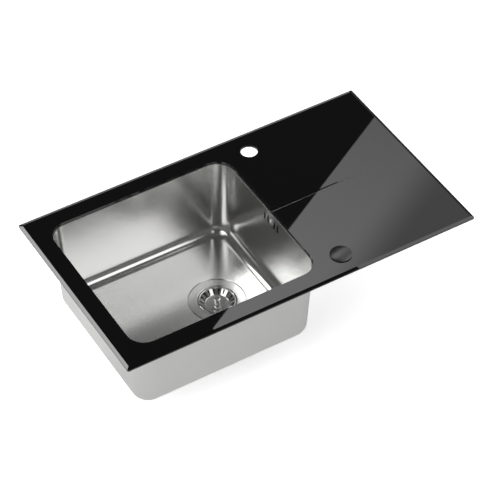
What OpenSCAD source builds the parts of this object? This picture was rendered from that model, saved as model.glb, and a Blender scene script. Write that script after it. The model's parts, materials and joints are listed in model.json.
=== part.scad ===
// Glass kitchen sink: a black glass plate with a bonded steel bowl on the left, a plain
// drainer on the right, and a strainer waste that a round knob on the plate raises.
// +X runs along the plate to the right, +Y to the rear, +Z up. Z = 0 is the top of the
// worktop, and the origin lies under the middle of the front sealing strip.

/* [Glass plate] */
// Length of the plate, left to right
glass_w = 770; // [700:5:900]
// Depth of the plate, front to rear
glass_d = 440; // [420:5:520]
// Thickness of the glass
glass_t = 5; // [4:0.5:8]
// Radius of the plate's corners in plan
corner_r = 3; // [1:0.5:10]
// Width of the bevel round the top edge
bevel_w = 6.2; // [2:0.2:10]
// Height of the bevel round the top edge
bevel_h = 1.8; // [0.5:0.1:3]
// Width of the drainer groove at the bowl
groove_w = 7; // [3:0.5:12]
// Depth of the drainer groove at the bowl
groove_h = 1.5; // [0.5:0.1:2.5]
// Distance from the groove's end to the plate's right edge
groove_end = 42; // [20:1:120]

/* [Sealing strip] */
// Thickness of the strip between glass and worktop
seal_t = 1.5; // [1:0.1:4]
// Width of the strip
seal_w = 8; // [6:0.5:12]
// Distance from the plate's edge to the middle of the strip
seal_in = 8; // [7:0.5:10]

/* [Bowl] */
// Length of the opening in the glass
opening_w = 400; // [340:1:440]
// Width of the glass in front of the opening and behind it
band_d = 39.5; // [36:0.5:60]
// Corner radius of the opening
opening_r = 38; // [25:1:60]
// Width of the glass to the left of the opening
band_l = 40; // [30:1:60]
// Depth of the bowl, from its rim flange to its floor
bowl_depth = 178.6; // [150:0.2:210]
// Thickness of the bowl's steel sheet
sheet_t = 0.8; // [0.6:0.1:1.2]
// Gap in plan between the glass edge and the bowl's outer wall
lip_gap = 0.2; // [0.1:0.1:1]
// Lean of each wall from rim to floor
wall_draft = 7.8; // [2:0.1:12]
// Outer corner radius of the bowl
bowl_r = 36; // [28:1:60]
// Outer radius between walls and floor
floor_r = 21; // [10:1:26]
// Width of the flange that is bonded under the glass
flange_w = 14; // [8:0.5:16]
// Thickness of the adhesive between glass and flange
glue_t = 2; // [0.3:0.1:3]
// Distance from the bowl's middle to the drain, to the right
drain_in = 76; // [40:1:90]

/* [Overflow] */
// Distance from the rim flange down to the middle of the slots
over_down = 21; // [20:0.5:34]
// Distance from the bowl's middle to the overflow, to the front
over_shift = 4; // [0:0.5:12]
// Height of a slot
slot_l = 19.5; // [12:0.5:22]
// Width of a slot
slot_w = 5.2; // [2:0.1:6.5]
// Distance between the slots of a pair
slot_pitch = 11.6; // [8:0.1:14]
// Radius of the overflow screw's shank
over_screw_r = 2.5; // [2:0.1:3]
// Depth of the overflow housing behind the wall
over_deep = 25; // [23:0.5:30]
// Height of the overflow housing
over_high = 30; // [28:0.5:34]
// Wall thickness of the overflow housing
over_wall = 2; // [1.5:0.1:3]

/* [Drain] */
// Radius of the drain flange
drain_r = 57; // [50:0.5:58]
// Thickness of the drain flange's steel
drain_t = 0.8; // [0.6:0.1:1.2]
// Inner radius of the drain well
well_r = 38.8; // [38.4:0.1:40.4]
// Height of the well's straight wall
well_h = 16; // [14:0.5:18]
// Radius of the hole in the bowl
bowl_hole_r = 45; // [43:0.5:46]
// Thickness of the gasket above the bowl floor
upper_gasket_t = 1.2; // [0.8:0.1:2]
// Thickness of the gasket below the bowl floor
lower_gasket_t = 2.5; // [1.5:0.1:4]
// Number of water holes in the well's bottom
well_holes = 6; // [4:1:6]
// Radius of a water hole
well_hole_r = 6.5; // [4:0.5:7]

/* [Strainer] */
// Radius of the strainer's rim
rim_r = 37.6; // [36.4:0.1:37.8]
// Radius of the strainer's flat bottom
disc_r = 24.8; // [20:0.2:27]
// Depth of the strainer from rim to bottom
cup_h = 10.8; // [8:0.2:12]
// Number of slots round the strainer
slots = 19; // [12:1:24]
// Angle from the X axis to the strainer's first slot
slot_turn = 15.7; // [0:0.1:30]
// Width of a slot in the strainer at its outer end
strain_w = 4.2; // [2:0.1:5]
// Radius of the lifting post
post_r = 7.5; // [5:0.5:9]
// Height of the lifting post
post_h = 17; // [10:0.5:24]
// Thickness of the rubber seal
rubber_t = 3.5; // [2.5:0.5:4]
// Gap between the rubber seal and its seat
seat_gap = 0.3; // [0.2:0.05:0.5]

/* [Waste] */
// Inner radius of the waste cup
cup_r = 44; // [42.5:0.5:45]
// Wall thickness of the waste cup
cup_wall = 3; // [2:0.5:4]
// Depth of the waste cup below its flange
cup_deep = 57; // [54:1:70]
// Thickness of the waste cup's flange
cup_flange_t = 4; // [3:0.5:6]
// Outer radius of the outlet
outlet_r = 23.9; // [20:0.1:25]
// Inner radius of the outlet
outlet_bore_r = 19.5; // [16:0.1:20]
// Distance from the drain's axis to the outlet's end
outlet_l = 92; // [80:1:120]
// Length of the outlet's fastening end
outlet_end = 22; // [15:1:30]
// Radius of the hollow fixing screw
screw_r = 5.5; // [5:0.1:6]
// Length of the hollow fixing screw below its head
screw_l = 20; // [14:1:22]

/* [Lift] */
// Travel of the strainer when the knob is turned
lift = 8; // [4:0.5:9]
// Radius of the lifting pin
pin_r = 3; // [2.5:0.1:3.2]
// Running gap round pins and spindles
run_gap = 0.06; // [0.03:0.01:0.1]
// Length of the lever arm under the pin
arm_l = 18; // [16:0.5:20]
// Length of the lever arm that the cable pulls
pull_l = 20; // [16:0.5:22]
// Thickness of the lever
lever_t = 5; // [3:0.5:8]
// Radius of the lever's axle
axle_r = 2; // [1.5:0.1:2.5]
// Wall thickness of the lift housing
case_wall = 2.5; // [2:0.5:3.5]
// Half width of the lift housing
case_half = 13; // [11:0.5:16]

/* [Hose] */
// Outer radius over the ribs
rib_r = 10; // [9.6:0.1:11]
// Outer radius between the ribs
root_r = 8.8; // [8.4:0.1:9.2]
// Radius of the bore at the corners of its eight sides
hose_bore_r = 7.8; // [7.4:0.1:8]
// Distance from rib to rib
rib_pitch = 4; // [3:0.5:6]
// Radius of the hose's bends, where it has the room
bend_r = 80; // [50:1:80]
// Wall thickness of the spigots in the hose's ends
spigot_wall = 1.4; // [1:0.1:2]

/* [Knob] */
// Distance from the opening to the knob's axis, to the right
knob_off = 52; // [44:1:100]
// Distance from the front edge to the knob's axis
knob_in = 49; // [42:0.5:60]
// Radius of the knob
knob_r = 21.8; // [20.4:0.1:25]
// Thickness of the knob's cap in its middle
knob_h = 1.6; // [1.6:0.1:6]
// Rise of the knob's face from its edge to its middle
knob_dome = 1.1; // [0.2:0.1:1.1]
// Thickness of the knob's skirt
skirt_t = 1.2; // [1:0.1:1.4]
// Thickness of the bezel inside the knob
bezel_t = 0.8; // [0.8:0.1:2]
// Gap between the knob and the bezel or the glass
knob_gap = 0.3; // [0.3:0.1:0.6]
// Radius of the knob's stem
stem_r = 6; // [5:0.5:8]
// Radius of the spindle
spindle_r = 3; // [2.5:0.1:3.5]
// Length of the bezel's sleeve below the glass
sleeve_l = 16; // [13:1:20]
// Outer radius of the control housing
casing_r = 20; // [19.5:0.5:26]
// Height of the control housing
casing_h = 12; // [12:0.5:20]

/* [Tap hole] */
// Radius of the tap hole and of the knob's hole
hole_r = 17.5; // [16:0.5:17.5]
// Distance from the opening to the tap hole's axis, to the right
tap_off = 52; // [40:1:200]
// Distance from the rear edge to the tap hole's axis
tap_in = 51.5; // [45:0.5:60]

/* [Cable] */
// Radius of the cable's sheath
cable_r = 2.5; // [2:0.1:3]

/* [Hidden] */
$fn = 96;

glass_black = [0.05, 0.05, 0.055];
steel = [0.74, 0.74, 0.73];
black_plastic = [0.08, 0.08, 0.085];
grey_plastic = [0.45, 0.46, 0.47];
rubber_black = [0.12, 0.12, 0.12];
glue_grey = [0.3, 0.3, 0.31];
brass = [0.78, 0.64, 0.36];

// Overshoot of a cutting shape past the face that it cuts
cut = 1;

under_z = seal_t;
top_z = under_z + glass_t;
flange_z = under_z - glue_t;
floor_z = flange_z - bowl_depth;
mid_y = glass_d / 2 - seal_in;
rear_y = glass_d - seal_in;
opening_d = glass_d - 2 * band_d;
opening_x = -glass_w / 2 + band_l + opening_w / 2;
opening_right = opening_x + opening_w / 2;
groove_l = glass_w / 2 - groove_end - opening_right;

// Half sizes and corner steps of the bowl's outer form
bowl_hx = opening_w / 2 - lip_gap;
bowl_hy = opening_d / 2 - lip_gap;
corner_steps = 10;
floor_steps = 6;

// The drain and what hangs below it, as heights above the bowl floor
drain_x = opening_x + drain_in;
recess_h = upper_gasket_t + drain_t;
recess_r = drain_r + 1.5;
gasket_top = -recess_h - sheet_t;
cup_top = gasket_top - lower_gasket_t;
cup_floor = cup_top - cup_deep;
seat_drop = 11;
seat_top_r = well_r;
seat_low_r = well_r - seat_drop;
well_floor = -well_h - seat_drop - 4;
plate_low = well_floor - drain_t;
gasket_in_r = bowl_hole_r + 1;
gasket_out_r = drain_r - 1;
water_circle = (seat_low_r + screw_r + 3) / 2;

// The strainer, as heights above the bowl floor
rim_z = -0.6;
disc_z = rim_z - cup_h;
cup_t = 0.8;
rubber_top = -well_h - 4.5;
rubber_low = rubber_top - rubber_t;
seat_slant = seat_gap * sqrt(2);
core_r = 21.9;
socket_r = pin_r + 0.5;
socket_top = rubber_low + 2;
carrier_low = rubber_low - 2;
head_h = 2.5;
head_r = 9;
screw_bore_r = pin_r + run_gap;

// The outlet and the two spigots, as heights above the bowl floor
outlet_z = cup_floor - cup_wall + outlet_r + 1;
spigot_r = hose_bore_r * cos(22.5) - 0.2;
collar_r = rib_r + 1;
collar_t = 3;
spigot_z = cup_top - cup_flange_t - collar_r - 6;
spigot_in = cup_r + cup_wall + 3;
boss_r = screw_r + 3.5;
boss_low = plate_low - screw_l - 2;
rib_t = 3;

// The lift mechanism, as heights above the bowl floor
base_z = cup_floor - cup_wall;
half_swing = asin(lift / (2 * arm_l));
swing = 2 * half_swing;
pull_end_r = 3;
pivot_z = base_z - case_wall - pull_l - pull_end_r - 1.5;
tip_r = 3.5;
tip_z = pivot_z - arm_l * sin(half_swing);
foot_r = 4.5;
foot_t = 1.5;
pin_low = tip_z + tip_r + seat_gap;
pin_top = socket_top - seat_gap;
hub_r = axle_r + 3;
case_low = tip_z - tip_r - 4;
case_left = -foot_r - 5 - case_wall;
case_right = arm_l + hub_r + 14;
cover_t = 2;
pull_z = pivot_z + pull_l * cos(half_swing);
cable_hole_r = cable_r + 2.1;
guide_r = screw_bore_r + 3;
oring_r = 1.1;
oring_mid = pin_r + oring_r + 0.1;
ring_h = 2 * oring_r + 0.2;
guide_top = cup_floor + 6;

// The overflow on the right wall, in a frame that leans with the wall
draft_angle = atan(wall_draft / bowl_depth);
over_z = flange_z - over_down;
over_x = opening_x + bowl_hx - wall_draft * over_down / bowl_depth;
over_y = mid_y - over_shift;
over_gasket_t = 1.5;
over_half = 2 * slot_pitch + slot_w / 2 + 4.5;
port_r = spigot_r - spigot_wall;
port_x = over_x + over_gasket_t + over_deep - over_wall - port_r - 1;
port_z = over_z - over_high / 2 - 3;

// The hose from the overflow's collar to the waste cup's collar
cuff = 2 * rib_r;
hose_top = port_z - collar_t;
hose_low = floor_z + spigot_z;
hose_end = drain_x + spigot_in + collar_t;

// Its bends: outwards by lean_angle first, then back and round to the waste cup. The room
// down and across, less the straight ends, sets the widest bend that fits.
room_x = port_x - hose_end - cuff;
room_z = hose_top - hose_low - cuff;
widest = (room_x - room_z + sqrt(pow(room_z - room_x, 2)
    + 2 * (room_x * room_x + room_z * room_z))) / 2;
hose_bend = min(bend_r, widest);
lean_out = max(0, hose_bend - room_x);
lean_angle = acos(1 - lean_out / (2 * hose_bend));
hose_drop = hose_top - hose_low - hose_bend * (1 + 2 * sin(lean_angle));
hose_run = port_x - hose_end - hose_bend + lean_out;
out_len = hose_bend * lean_angle * PI / 180;
back_len = hose_bend * (90 + lean_angle) * PI / 180;
hose_len = hose_drop + out_len + back_len + hose_run;
nut_w = 9;

// The knob and its control housing
knob_x = opening_right + knob_off;
tap_x = opening_right + tap_off;
knob_y = knob_in - seal_in;
tap_y = rear_y - tap_in;
bezel_gasket_t = 0.4;
bezel_z = top_z + bezel_gasket_t;
bezel_r = knob_r - skirt_t - knob_gap;
cap_z = bezel_z + bezel_t + knob_gap;
sleeve_r = hole_r - 0.5;
sleeve_bore = 12;
sleeve_low = under_z - sleeve_l;
web_z = under_z - 2;
web_h = 6;
washer_t = 2;
nut_h = 6;
nut_flat = hole_r + 5.5;
casing_top = sleeve_low + 4;
casing_low = casing_top - casing_h;
casing_wall = 2;
drum_h = 6;
drum_flange_t = 1.5;
wind_r = 2 * pull_l * sin(half_swing) / (PI / 2);
drum_r = wind_r + 4.5;
wire_x = knob_x + wind_r;
pull_y = knob_y + casing_r;
cable_mid = casing_low + casing_h / 2;
drum_z = cable_mid - drum_h / 2;
ferrule_r = cable_hole_r - 0.1;
ferrule_l = 14;

// The cable's route, from the control housing to the lift housing. The points between the
// housings were chosen by hand: beside the knob or the drain, before the bowl's middle, and
// as shares of the way down.
cable_low = floor_z + pull_z;
cable_drop = cable_low - cable_mid;
route = concat([for (y = [2, 14, 26]) [wire_x, pull_y + y, cable_mid]],
    [for (p = [[7, -115, 0.03], [10, -100, 0.11], [14, -86, 0.23], [17, -74, 0.36],
            [17, -62, 0.5], [14, -50, 0.635]])
        [knob_x + p[0], mid_y + p[1], cable_mid + p[2] * cable_drop]],
    [for (p = [[179, -36, 0.76], [164, -22, 0.87], [143, -10, 0.945], [117, -2, 0.995]])
        [drain_x + p[0], mid_y + p[1], cable_mid + p[2] * cable_drop]],
    [for (x = [93, 73, case_right - 1]) [drain_x + x, mid_y, cable_low]]);
cable_sides = 8;
cable_steps = 3;

// Points of a rounded rectangle in plan, anticlockwise, at height z
function ring(hx, hy, r, z) = [for (k = [0:3]) for (i = [0:corner_steps])
    let (a = 90 * k + 90 * i / corner_steps, sx = (k == 0 || k == 3) ? 1 : -1,
         sy = k < 2 ? 1 : -1)
    [opening_x + sx * (hx - r) + r * cos(a), mid_y + sy * (hy - r) + r * sin(a), z]];

// Depth and extra inset down the bowl's wall and round its floor radius
function wall_steps(depth, fr) = concat([[0, 0]],
    [for (i = [0:floor_steps]) let (a = 90 * i / floor_steps)
        [depth - fr + fr * sin(a), fr * (1 - cos(a))]]);

function bowl_rings(skin, top) = [for (s = concat(top > 0 ? [[-top, 0]] : [],
        wall_steps(bowl_depth + sheet_t - skin, floor_r - skin)))
    let (lean = wall_draft * max(s[0], 0) / bowl_depth, inset = lean + s[1] + skin)
    ring(bowl_hx - inset, bowl_hy - inset, bowl_r - skin - s[1], flange_z - s[0])];

// A closed skin over rings that run downwards, each with its points anticlockwise
module loft(rings) {
    n = len(rings[0]);
    m = len(rings);
    polyhedron(points = [for (g = rings) each g], faces = concat(
        [[for (i = [n - 1:-1:0]) i]],
        [[for (i = [0:n - 1]) (m - 1) * n + i]],
        [for (k = [0:m - 2]) for (i = [0:n - 1]) let (j = (i + 1) % n)
            [k * n + i, k * n + j, (k + 1) * n + j, (k + 1) * n + i]]), convexity = 4);
}

// A closed skin over rings whose last one joins the first, as on a hose with its bore
module loop_loft(rings) {
    n = len(rings[0]);
    m = len(rings);
    polyhedron(points = [for (g = rings) each g], faces = [for (k = [0:m - 1])
        for (i = [0:n - 1]) for (half = [0:1]) let (j = (i + 1) % n, q = (k + 1) % m)
            half == 0 ? [k * n + i, k * n + j, q * n + j] : [k * n + i, q * n + j, q * n + i]],
        convexity = 6);
}

module rounded(w, d, r) {
    hull_r = min(r, w / 2, d / 2);
    for (sx = [-1, 1], sy = [-1, 1])
        translate([sx * (w / 2 - hull_r), sy * (d / 2 - hull_r)]) circle(hull_r);
    square([w - 2 * hull_r, d], center = true);
    square([w, d - 2 * hull_r], center = true);
}

module slot_shape(length, width) {
    square([width, length - width], center = true);
    for (s = [-1, 1]) translate([0, s * (length - width) / 2]) circle(width / 2);
}

module tube(r_out, r_in, h) {
    difference() {
        cylinder(r = r_out, h = h);
        translate([0, 0, -cut]) cylinder(r = r_in, h = h + 2 * cut);
    }
}

// Frames that the sub-parts are drawn in
module at_drain() { translate([drain_x, mid_y, floor_z]) children(); }
module at_knob() { translate([knob_x, knob_y, 0]) children(); }
module at_overflow() {
    translate([over_x, over_y, over_z]) rotate([0, draft_angle, 0]) children();
}
module at_pivot() { translate([arm_l, 0, pivot_z]) children(); }

// The plate is where two bevelled bars, one each way, and the plan outline meet
module bevelled(length, width) {
    rotate([90, 0, 90]) translate([0, 0, -length / 2]) linear_extrude(length)
        polygon([[-width / 2, 0], [width / 2, 0], [width / 2, glass_t - bevel_h],
            [width / 2 - bevel_w, glass_t], [-width / 2 + bevel_w, glass_t],
            [-width / 2, glass_t - bevel_h]]);
}

module glass_top() {
    color(glass_black) difference() {
        translate([0, mid_y, under_z]) intersection() {
            linear_extrude(glass_t) rounded(glass_w, glass_d, corner_r);
            bevelled(glass_w, glass_d);
            rotate([0, 0, 90]) bevelled(glass_d, glass_w);
        }
        translate([opening_x, mid_y, under_z - cut]) linear_extrude(glass_t + 2 * cut)
            rounded(opening_w, opening_d, opening_r);
        for (p = [[knob_x, knob_y], [tap_x, tap_y]])
            translate([p[0], p[1], under_z - cut]) cylinder(r = hole_r, h = glass_t + 2 * cut);
        translate([opening_x + opening_w / 2, mid_y, top_z])
            rotate([0, -atan(groove_h / groove_l), 0]) rotate([90, 0, 90])
                translate([0, -groove_h, -cut]) linear_extrude(groove_l + cut)
                    polygon([[0, 0], [groove_w / 2, groove_h], [groove_w, 2 * groove_h],
                        [-groove_w, 2 * groove_h], [-groove_w / 2, groove_h]]);
    }
}

// Four straight strips with butt joints, so that each lies flat on the worktop
module rim_seal() {
    long_l = glass_w - 2 * seal_in + seal_w;
    joint_gap = 0.2;
    short_l = glass_d - 2 * seal_in - seal_w - 2 * joint_gap;
    color(rubber_black) {
        for (y = [0, glass_d - 2 * seal_in])
            translate([-long_l / 2, y - seal_w / 2, 0]) cube([long_l, seal_w, seal_t]);
        for (s = [-1, 1])
            translate([s * (glass_w / 2 - seal_in) - seal_w / 2, seal_w / 2 + joint_gap, 0])
                cube([seal_w, short_l, seal_t]);
    }
}

module bowl() {
    color(steel) difference() {
        union() {
            loft(bowl_rings(0, 0));
            translate([opening_x, mid_y, flange_z - sheet_t]) linear_extrude(sheet_t)
                rounded(opening_w + 2 * flange_w, opening_d + 2 * flange_w, opening_r + flange_w);
            at_drain() translate([0, 0, -recess_h - sheet_t])
                cylinder(r = recess_r + sheet_t, h = recess_h);
        }
        loft(bowl_rings(sheet_t, cut));
        at_drain() {
            translate([0, 0, -recess_h]) cylinder(r = recess_r, h = recess_h + cut);
            translate([0, 0, -recess_h - sheet_t - cut]) cylinder(r = bowl_hole_r, h = 4 * cut);
        }
        at_overflow() {
            for (y = [-2, -1, 1, 2] * slot_pitch)
                translate([-3 * sheet_t, y, 0]) rotate([90, 0, 90])
                    linear_extrude(5 * sheet_t) slot_shape(slot_l, slot_w);
            translate([-3 * sheet_t, 0, 0]) rotate([0, 90, 0])
                cylinder(r = over_screw_r + 0.2, h = 5 * sheet_t);
        }
    }
}

// Bead between the bowl's flange and the glass, level with the edge of the opening
module bowl_adhesive() {
    edge = 2;
    color(glue_grey) translate([opening_x, mid_y, flange_z]) linear_extrude(glue_t)
        difference() {
            rounded(opening_w + 2 * (flange_w - edge), opening_d + 2 * (flange_w - edge),
                opening_r + flange_w - edge);
            rounded(opening_w, opening_d, opening_r);
        }
}

// The dish that lines the drain: flange, straight wall, sloping seat and bottom plate
module drain_flange() {
    t = drain_t;
    roll = 1.8;
    color(steel) at_drain() difference() {
        rotate_extrude() polygon([[0, well_floor], [seat_low_r, well_floor],
            [seat_low_r, -well_h - seat_drop], [seat_top_r, -well_h], [well_r, -roll],
            [well_r + roll * 0.3, -roll * 0.3], [well_r + roll, 0], [drain_r - 0.4, 0],
            [drain_r, -0.3], [drain_r, -t], [well_r + roll + t * 0.4, -t],
            [well_r + t, -roll - t * 0.4], [well_r + t, -well_h - t * 0.4],
            [seat_low_r + t, -well_h - seat_drop - t * 0.4], [seat_low_r + t, well_floor - t],
            [0, well_floor - t]]);
        translate([0, 0, plate_low - cut]) cylinder(r = screw_r + 0.1, h = 4 * cut);
        for (i = [0:well_holes - 1]) rotate([0, 0, 360 * i / well_holes])
            translate([water_circle, 0, plate_low - cut]) cylinder(r = well_hole_r, h = 4 * cut);
    }
}

module flange_gasket() {
    color(rubber_black) at_drain() translate([0, 0, -recess_h])
        tube(gasket_out_r, gasket_in_r, upper_gasket_t);
}

module waste_gasket() {
    color(rubber_black) at_drain() translate([0, 0, cup_top])
        tube(gasket_out_r, gasket_in_r, lower_gasket_t);
}

// The cup under the bowl, with its side outlet, overflow spigot, screw boss and pin guide
module waste_body() {
    outer_r = cup_r + cup_wall;
    color(grey_plastic) at_drain() difference() {
        union() {
            translate([0, 0, cup_top - cup_flange_t]) cylinder(r = gasket_out_r, h = cup_flange_t);
            translate([0, 0, base_z]) cylinder(r = outer_r, h = cup_top - base_z);
            translate([0, 0, outlet_z]) rotate([-90, 0, 0]) cylinder(r = outlet_r, h = outlet_l);
            translate([0, outlet_l - outlet_end - 4, outlet_z]) rotate([-90, 0, 0])
                cylinder(r = outlet_r + 2.5, h = 4);
            translate([0, 0, spigot_z]) rotate([0, 90, 0])
                cylinder(r = spigot_r, h = hose_end - drain_x + cuff - 4);
            translate([0, 0, spigot_z]) rotate([0, 90, 0])
                cylinder(r = collar_r, h = hose_end - drain_x);
        }
        difference() {
            translate([0, 0, cup_floor]) cylinder(r = cup_r, h = cup_top - cup_floor + cut);
            translate([0, 0, boss_low]) cylinder(r = boss_r, h = plate_low - boss_low);
            translate([0, 0, cup_floor - cut]) cylinder(r = guide_r, h = guide_top - cup_floor + cut);
            for (a = [45, 135]) rotate([0, 0, a])
                translate([-cup_r - cut, -rib_t / 2, boss_low + 2])
                    cube([2 * (cup_r + cut), rib_t, plate_low - boss_low - 7]);
        }
        translate([0, 0, outlet_z]) rotate([-90, 0, 0])
            difference() {
                cylinder(r = outlet_bore_r, h = outlet_l + cut);
                cylinder(r = outlet_bore_r + cut, h = boss_r + 4);
            }
        translate([0, 0, spigot_z]) rotate([0, 90, 0]) translate([0, 0, cup_r - 6])
            cylinder(r = port_r, h = outlet_l);
        translate([0, 0, boss_low - cut]) cylinder(r = screw_r + 0.05, h = -boss_low);
        translate([0, 0, base_z - cut])
            cylinder(r = pin_r + run_gap, h = guide_top - base_z + 2 * cut);
        translate([0, 0, guide_top - 2 - ring_h]) cylinder(r = oring_mid + oring_r + 0.1, h = ring_h);
    }
}

module fixing_screw() {
    color(steel) at_drain() difference() {
        union() {
            translate([0, 0, plate_low - screw_l]) cylinder(r = screw_r, h = screw_l + drain_t);
            translate([0, 0, well_floor]) cylinder(r = head_r, h = head_h);
        }
        translate([0, 0, plate_low - screw_l - cut])
            cylinder(r = screw_bore_r, h = screw_l + head_h + 3 * cut);
        for (a = [0, 90]) rotate([0, 0, a])
            translate([-head_r - cut, -1, well_floor + head_h - 1.2])
                cube([2 * (head_r + cut), 2, 1.2 + cut]);
    }
}

// Rim, slotted cone and flat bottom, pressed from one sheet
module strainer_basket() {
    rim_w = 2;
    color(steel) at_drain() difference() {
        rotate_extrude() polygon([[0, disc_z], [disc_r - 1, disc_z], [rim_r - rim_w - 0.4, rim_z - 0.9],
            [rim_r - rim_w, rim_z - 0.3], [rim_r - rim_w + 0.7, rim_z], [rim_r - 0.5, rim_z],
            [rim_r, rim_z - 0.4], [rim_r, rim_z - 1.6], [rim_r - cup_t, rim_z - 1.6],
            [rim_r - rim_w + 0.6, rim_z - 1.4], [disc_r - 0.4, disc_z - cup_t], [0, disc_z - cup_t]]);
        for (i = [0:slots - 1]) rotate([0, 0, slot_turn + 360 * i / slots])
            translate([0, 0, disc_z - 2 * cut]) linear_extrude(cup_h + 2 * cut)
                polygon([[disc_r + 1.2, -strain_w / 4], [rim_r - rim_w - 1.4, -strain_w / 2],
                    [rim_r - rim_w - 1.4, strain_w / 2], [disc_r + 1.2, strain_w / 4]]);
        translate([0, 0, disc_z - 2 * cut]) cylinder(r = 3.1, h = 4 * cut);
    }
}

// A turned post with a waist, whose stud passes down into the carrier
module lifting_post() {
    color(steel) at_drain() rotate_extrude() polygon([[0, disc_z - 5], [3, disc_z - 5],
        [3, disc_z], [post_r - 0.8, disc_z], [post_r - 1.8, disc_z + post_h * 0.35],
        [post_r - 1.8, disc_z + post_h * 0.55], [post_r, disc_z + post_h * 0.8],
        [post_r, disc_z + post_h - 1], [post_r - 1, disc_z + post_h], [0, disc_z + post_h]]);
}

module seal_carrier() {
    plate_r = 30;
    color(black_plastic) at_drain() difference() {
        union() {
            translate([0, 0, rubber_top]) cylinder(r = 6.5, h = disc_z - cup_t - rubber_top);
            translate([0, 0, rubber_top]) cylinder(r = plate_r, h = 2);
            translate([0, 0, carrier_low]) cylinder(r = core_r, h = rubber_top - carrier_low);
            translate([0, 0, carrier_low]) cylinder(r = core_r + 2.5, h = 2);
        }
        translate([0, 0, disc_z - 6]) cylinder(r = 3.1, h = 6);
        translate([0, 0, carrier_low - cut]) cylinder(r = socket_r, h = socket_top - carrier_low + cut);
    }
}

// Its sloping edge lies parallel to the seat, a small gap above it
module basket_seal() {
    edge_top = seat_top_r - (-well_h - rubber_top) - seat_slant;
    color(rubber_black) at_drain() rotate_extrude() polygon([[core_r + 0.05, rubber_top],
        [edge_top, rubber_top], [edge_top - rubber_t, rubber_low], [core_r + 0.05, rubber_low]]);
}

module lift_pin() {
    color(steel) at_drain() {
        translate([0, 0, pin_low]) cylinder(r = pin_r, h = pin_top - pin_low);
        translate([0, 0, pin_low]) cylinder(r = foot_r, h = foot_t);
    }
}

module pin_seal() {
    color(rubber_black) at_drain() translate([0, 0, guide_top - 2 - ring_h / 2])
        rotate_extrude() translate([oring_mid, 0]) circle(oring_r);
}

// A bell crank: one arm under the pin, the other pulled by the cable
module lift_lever() {
    color(brass) at_drain() at_pivot() rotate([90, 0, 0]) difference() {
        translate([0, 0, -lever_t / 2]) linear_extrude(lever_t) {
            circle(hub_r);
            rotate(180 + half_swing) {
                translate([0, -2.5]) square([arm_l, 5]);
                translate([arm_l, 0]) circle(tip_r);
            }
            rotate(90 + half_swing) {
                translate([0, -2]) square([pull_l, 4]);
                translate([pull_l, 0]) circle(pull_end_r);
            }
        }
        translate([0, 0, -lever_t]) cylinder(r = axle_r + run_gap, h = 2 * lever_t);
        rotate(90 + half_swing) translate([pull_l, 0, -lever_t]) cylinder(r = 1.2, h = 2 * lever_t);
    }
}

module lever_axle() {
    color(steel) at_drain() at_pivot() rotate([90, 0, 0])
        translate([0, 0, -case_half]) cylinder(r = axle_r, h = 2 * case_half);
}

module lift_housing() {
    color(black_plastic) at_drain() difference() {
        union() {
            translate([case_left, -case_half, case_low])
                cube([case_right - case_left, 2 * case_half, base_z - case_low]);
            translate([case_right - 1, 0, pull_z]) rotate([0, 90, 0])
                cylinder(r = cable_hole_r + 2.4, h = 9);
        }
        difference() {
            translate([case_left + case_wall, -case_half + case_wall, case_low - cut])
                cube([case_right - case_left - 2 * case_wall, 2 * (case_half - case_wall),
                    base_z - case_low - case_wall + cut]);
            for (x = [case_left + 3.5, case_right - 3.5]) translate([x, 0, case_low])
                cylinder(r = 3.5, h = 12);
        }
        translate([0, 0, base_z - 2 * case_wall]) cylinder(r = pin_r + 0.5, h = 3 * case_wall);
        translate([arm_l, 0, pivot_z]) rotate([90, 0, 0])
            cylinder(r = axle_r + 0.02, h = 3 * case_half, center = true);
        translate([case_right - 2 * case_wall, 0, pull_z]) rotate([0, 90, 0])
            cylinder(r = cable_hole_r, h = 16);
        for (x = [case_left + 3.5, case_right - 3.5]) translate([x, 0, case_low - cut])
            cylinder(r = 1.3, h = 11);
    }
}

module lift_cover() {
    color(black_plastic) at_drain() difference() {
        union() {
            translate([case_left, -case_half, case_low - cover_t])
                cube([case_right - case_left, 2 * case_half, cover_t]);
            translate([case_left + 9, -case_half + case_wall + 0.3, case_low])
                cube([case_right - case_left - 18, 2, 1.5]);
            translate([case_left + 9, case_half - case_wall - 2.3, case_low])
                cube([case_right - case_left - 18, 2, 1.5]);
        }
        for (x = [case_left + 3.5, case_right - 3.5])
            translate([x, 0, case_low - cover_t - cut]) cylinder(r = 1.7, h = 4 * cut);
    }
}

module cover_screws() {
    color(steel) at_drain() for (x = [case_left + 3.5, case_right - 3.5])
        translate([x, 0, case_low - cover_t]) {
            translate([0, 0, -1.6]) difference() {
                cylinder(r = 3, h = 1.6);
                translate([0, 0, -cut]) cylinder(r = 1.2, h = 1 + cut, $fn = 6);
            }
            cylinder(r = 1.25, h = 9);
        }
}

module overflow_gasket() {
    color(rubber_black) at_overflow() difference() {
        translate([0, -over_half, -over_high / 2]) cube([over_gasket_t, 2 * over_half, over_high]);
        translate([-cut, -over_half + 3, -over_high / 2 + 3])
            cube([over_gasket_t + 2 * cut, 2 * over_half - 6, over_high - 6]);
    }
}

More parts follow.
